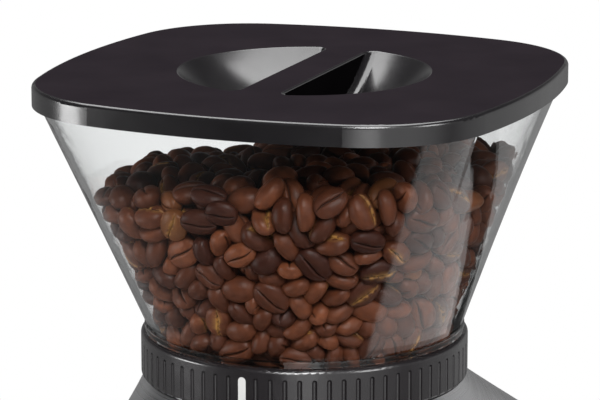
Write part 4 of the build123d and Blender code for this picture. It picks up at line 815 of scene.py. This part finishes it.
def make_floor():
    """Round pale floor that takes the shadow and turns into the white background away from the object."""
    turns = [2 * pi * k / FLOOR_SIDES for k in range(FLOOR_SIDES)]
    mesh = bpy.data.meshes.new("floor")
    rim = [(FLOOR_R * cos(turn), FLOOR_R * sin(turn), 0) for turn in turns]
    mesh.from_pydata(rim, [], [tuple(range(FLOOR_SIDES))])
    floor = bpy.data.objects.new("floor", mesh)
    bpy.context.scene.collection.objects.link(floor)
    shade = Shade("floor", Base_Color=FLOOR_GREY, Roughness=0.9, Specular_IOR_Level=0.1)
    tree = shade.tree
    far = shade.node("ShaderNodeVectorMath", Vector=shade.coord)
    far.operation = "LENGTH"
    fade = graded(tree, far.outputs["Value"], *FLOOR_FADE, 0, 1)
    straight, mirrored, _ = ray_kinds(tree)
    place = shade.node("ShaderNodeSeparateXYZ", Vector=shade.coord).outputs
    card = times(tree, card_share(tree, place), graded(tree, place["X"], *CARD[0], *MIRROR_CARD))
    level = larger_of(tree, graded(tree, mirrored, 0, 1, 1, MIRROR_FLOOR), card)
    level = larger_of(tree, level, graded(tree, place["X"], *LEFT_FLOOR, 0, MIRROR_LEFT))
    ahead = graded(tree, place["Y"], *FAR_AHEAD, 0, MIRROR_FAR)
    level = larger_of(tree, level, times(tree, graded(tree, far.outputs["Value"], *FAR_FLOOR, 0, 1), ahead))
    white = shade.node("ShaderNodeEmission", Color=WHITE, Strength=level)
    mixer = tree.nodes.new("ShaderNodeMixShader")
    shade.link(larger_of(tree, times(tree, straight, fade), mirrored), mixer.inputs[0])
    shade.link(shade.bsdf.outputs[0], mixer.inputs[1])
    shade.link(white.outputs[0], mixer.inputs[2])
    shade.link(mixer.outputs[0], shade.out.inputs["Surface"])
    mesh.materials.append(shade.mat)


def make_world():
    """White where it is seen; in mirrors a dim room with paler walls behind, at the left and at the right."""
    world = bpy.data.worlds.new("studio")
    bpy.context.scene.world = world
    world.use_nodes = True
    tree = world.node_tree
    ground = tree.nodes["Background"]
    ground.inputs["Color"].default_value = WHITE
    direction = tree.nodes.new("ShaderNodeTexCoord").outputs["Generated"]
    split = tree.nodes.new("ShaderNodeSeparateXYZ")
    tree.links.new(direction, split.inputs[0])

    def panel(way, edge, level):
        return graded(tree, towards(tree, direction, way), *edge, 0, level)

    walls = larger_of(tree, panel(BACK_WAY, BACK_EDGE, MIRROR_BACK), panel(WALL_WAY, WALL_EDGE, MIRROR_WALL))
    walls = larger_of(tree, walls, panel(LEFT_WAY, LEFT_EDGE, MIRROR_LEFT))
    walls = times(tree, walls, graded(tree, split.outputs["Z"], *WALL_TOP, 1, 0))
    side = times(tree, panel(SIDE_WAY, SIDE_EDGE, MIRROR_SIDE), panel((*RIGHTWARD, 0), SIDE_CUT, 1))
    room = graded(tree, larger_of(tree, walls, side), 0, 1, MIRROR_ROOM, 1)
    straight, mirrored, scattered = ray_kinds(tree)
    seen = larger_of(tree, straight, times(tree, mirrored, room))
    lit = larger_of(tree, seen, graded(tree, scattered, 0, 1, 0, AMBIENT))
    tree.links.new(lit, ground.inputs["Strength"])


# Lights and camera

# Each row: place, the point that it faces, width, height, watts, whether it shows in mirrors
LIGHTS = {
    "top_box": ((-0.22, 0.25, 1.2), (-0.22, 0.25, 0), 1.25, 0.9, 15, True),
    "key_box": ((0.42, -0.9, 1.05), (0, 0, 0.25), 0.5, 0.4, 11, True),
    "right_box": ((0.95, -0.25, 0.6), (0, 0, 0.24), 0.3, 0.4, 3, True),
    "left_box": ((-0.95, -0.47, 0.2), (0, 0, 0.24), 0.4, 0.3, 3.8, True),
    "back_box": ((-0.75, 0.75, 0.42), (-0.03, 0, 0.27), 0.4, 0.4, 4, False),
    "front_card": ((0.36, -1.0, 0.03), (0.03, -0.05, 0.26), 0.46, 0.22, 0.46, True),
}
CAMERA_PLACE = (0.3685, -0.9322, 0.49465)
FOCAL_LENGTH = 203.5
SENSOR_WIDTH = 36
SHIFT_X = -0.0073
CLIP_END = 20


def soft_light(name, place, target, width, height, power, mirrored):
    lamp = bpy.data.lights.new(name, "AREA")
    lamp.shape = "RECTANGLE"
    lamp.size, lamp.size_y = width, height
    lamp.energy = power
    piece = bpy.data.objects.new(name, lamp)
    bpy.context.scene.collection.objects.link(piece)
    piece.location = place
    piece.rotation_euler = (Vector(target) - Vector(place)).to_track_quat("-Z", "Y").to_euler()
    piece.visible_camera = False
    piece.visible_transmission = False
    piece.visible_glossy = mirrored


def make_camera():
    lens = bpy.data.cameras.new("camera")
    lens.lens = FOCAL_LENGTH
    lens.sensor_width = SENSOR_WIDTH
    lens.shift_x = SHIFT_X
    lens.clip_end = CLIP_END
    camera = bpy.data.objects.new("camera", lens)
    bpy.context.scene.collection.objects.link(camera)
    camera.location = CAMERA_PLACE
    camera.rotation_euler = (radians(90 - VIEW_DOWN), 0, VIEW_TURN)
    bpy.context.scene.camera = camera


dress_nodes()
make_beans()
make_marks()
make_camera()
make_floor()
make_world()
for light_name, row in LIGHTS.items():
    soft_light(light_name, *row)

bpy.context.scene.view_settings.view_transform = "Standard"
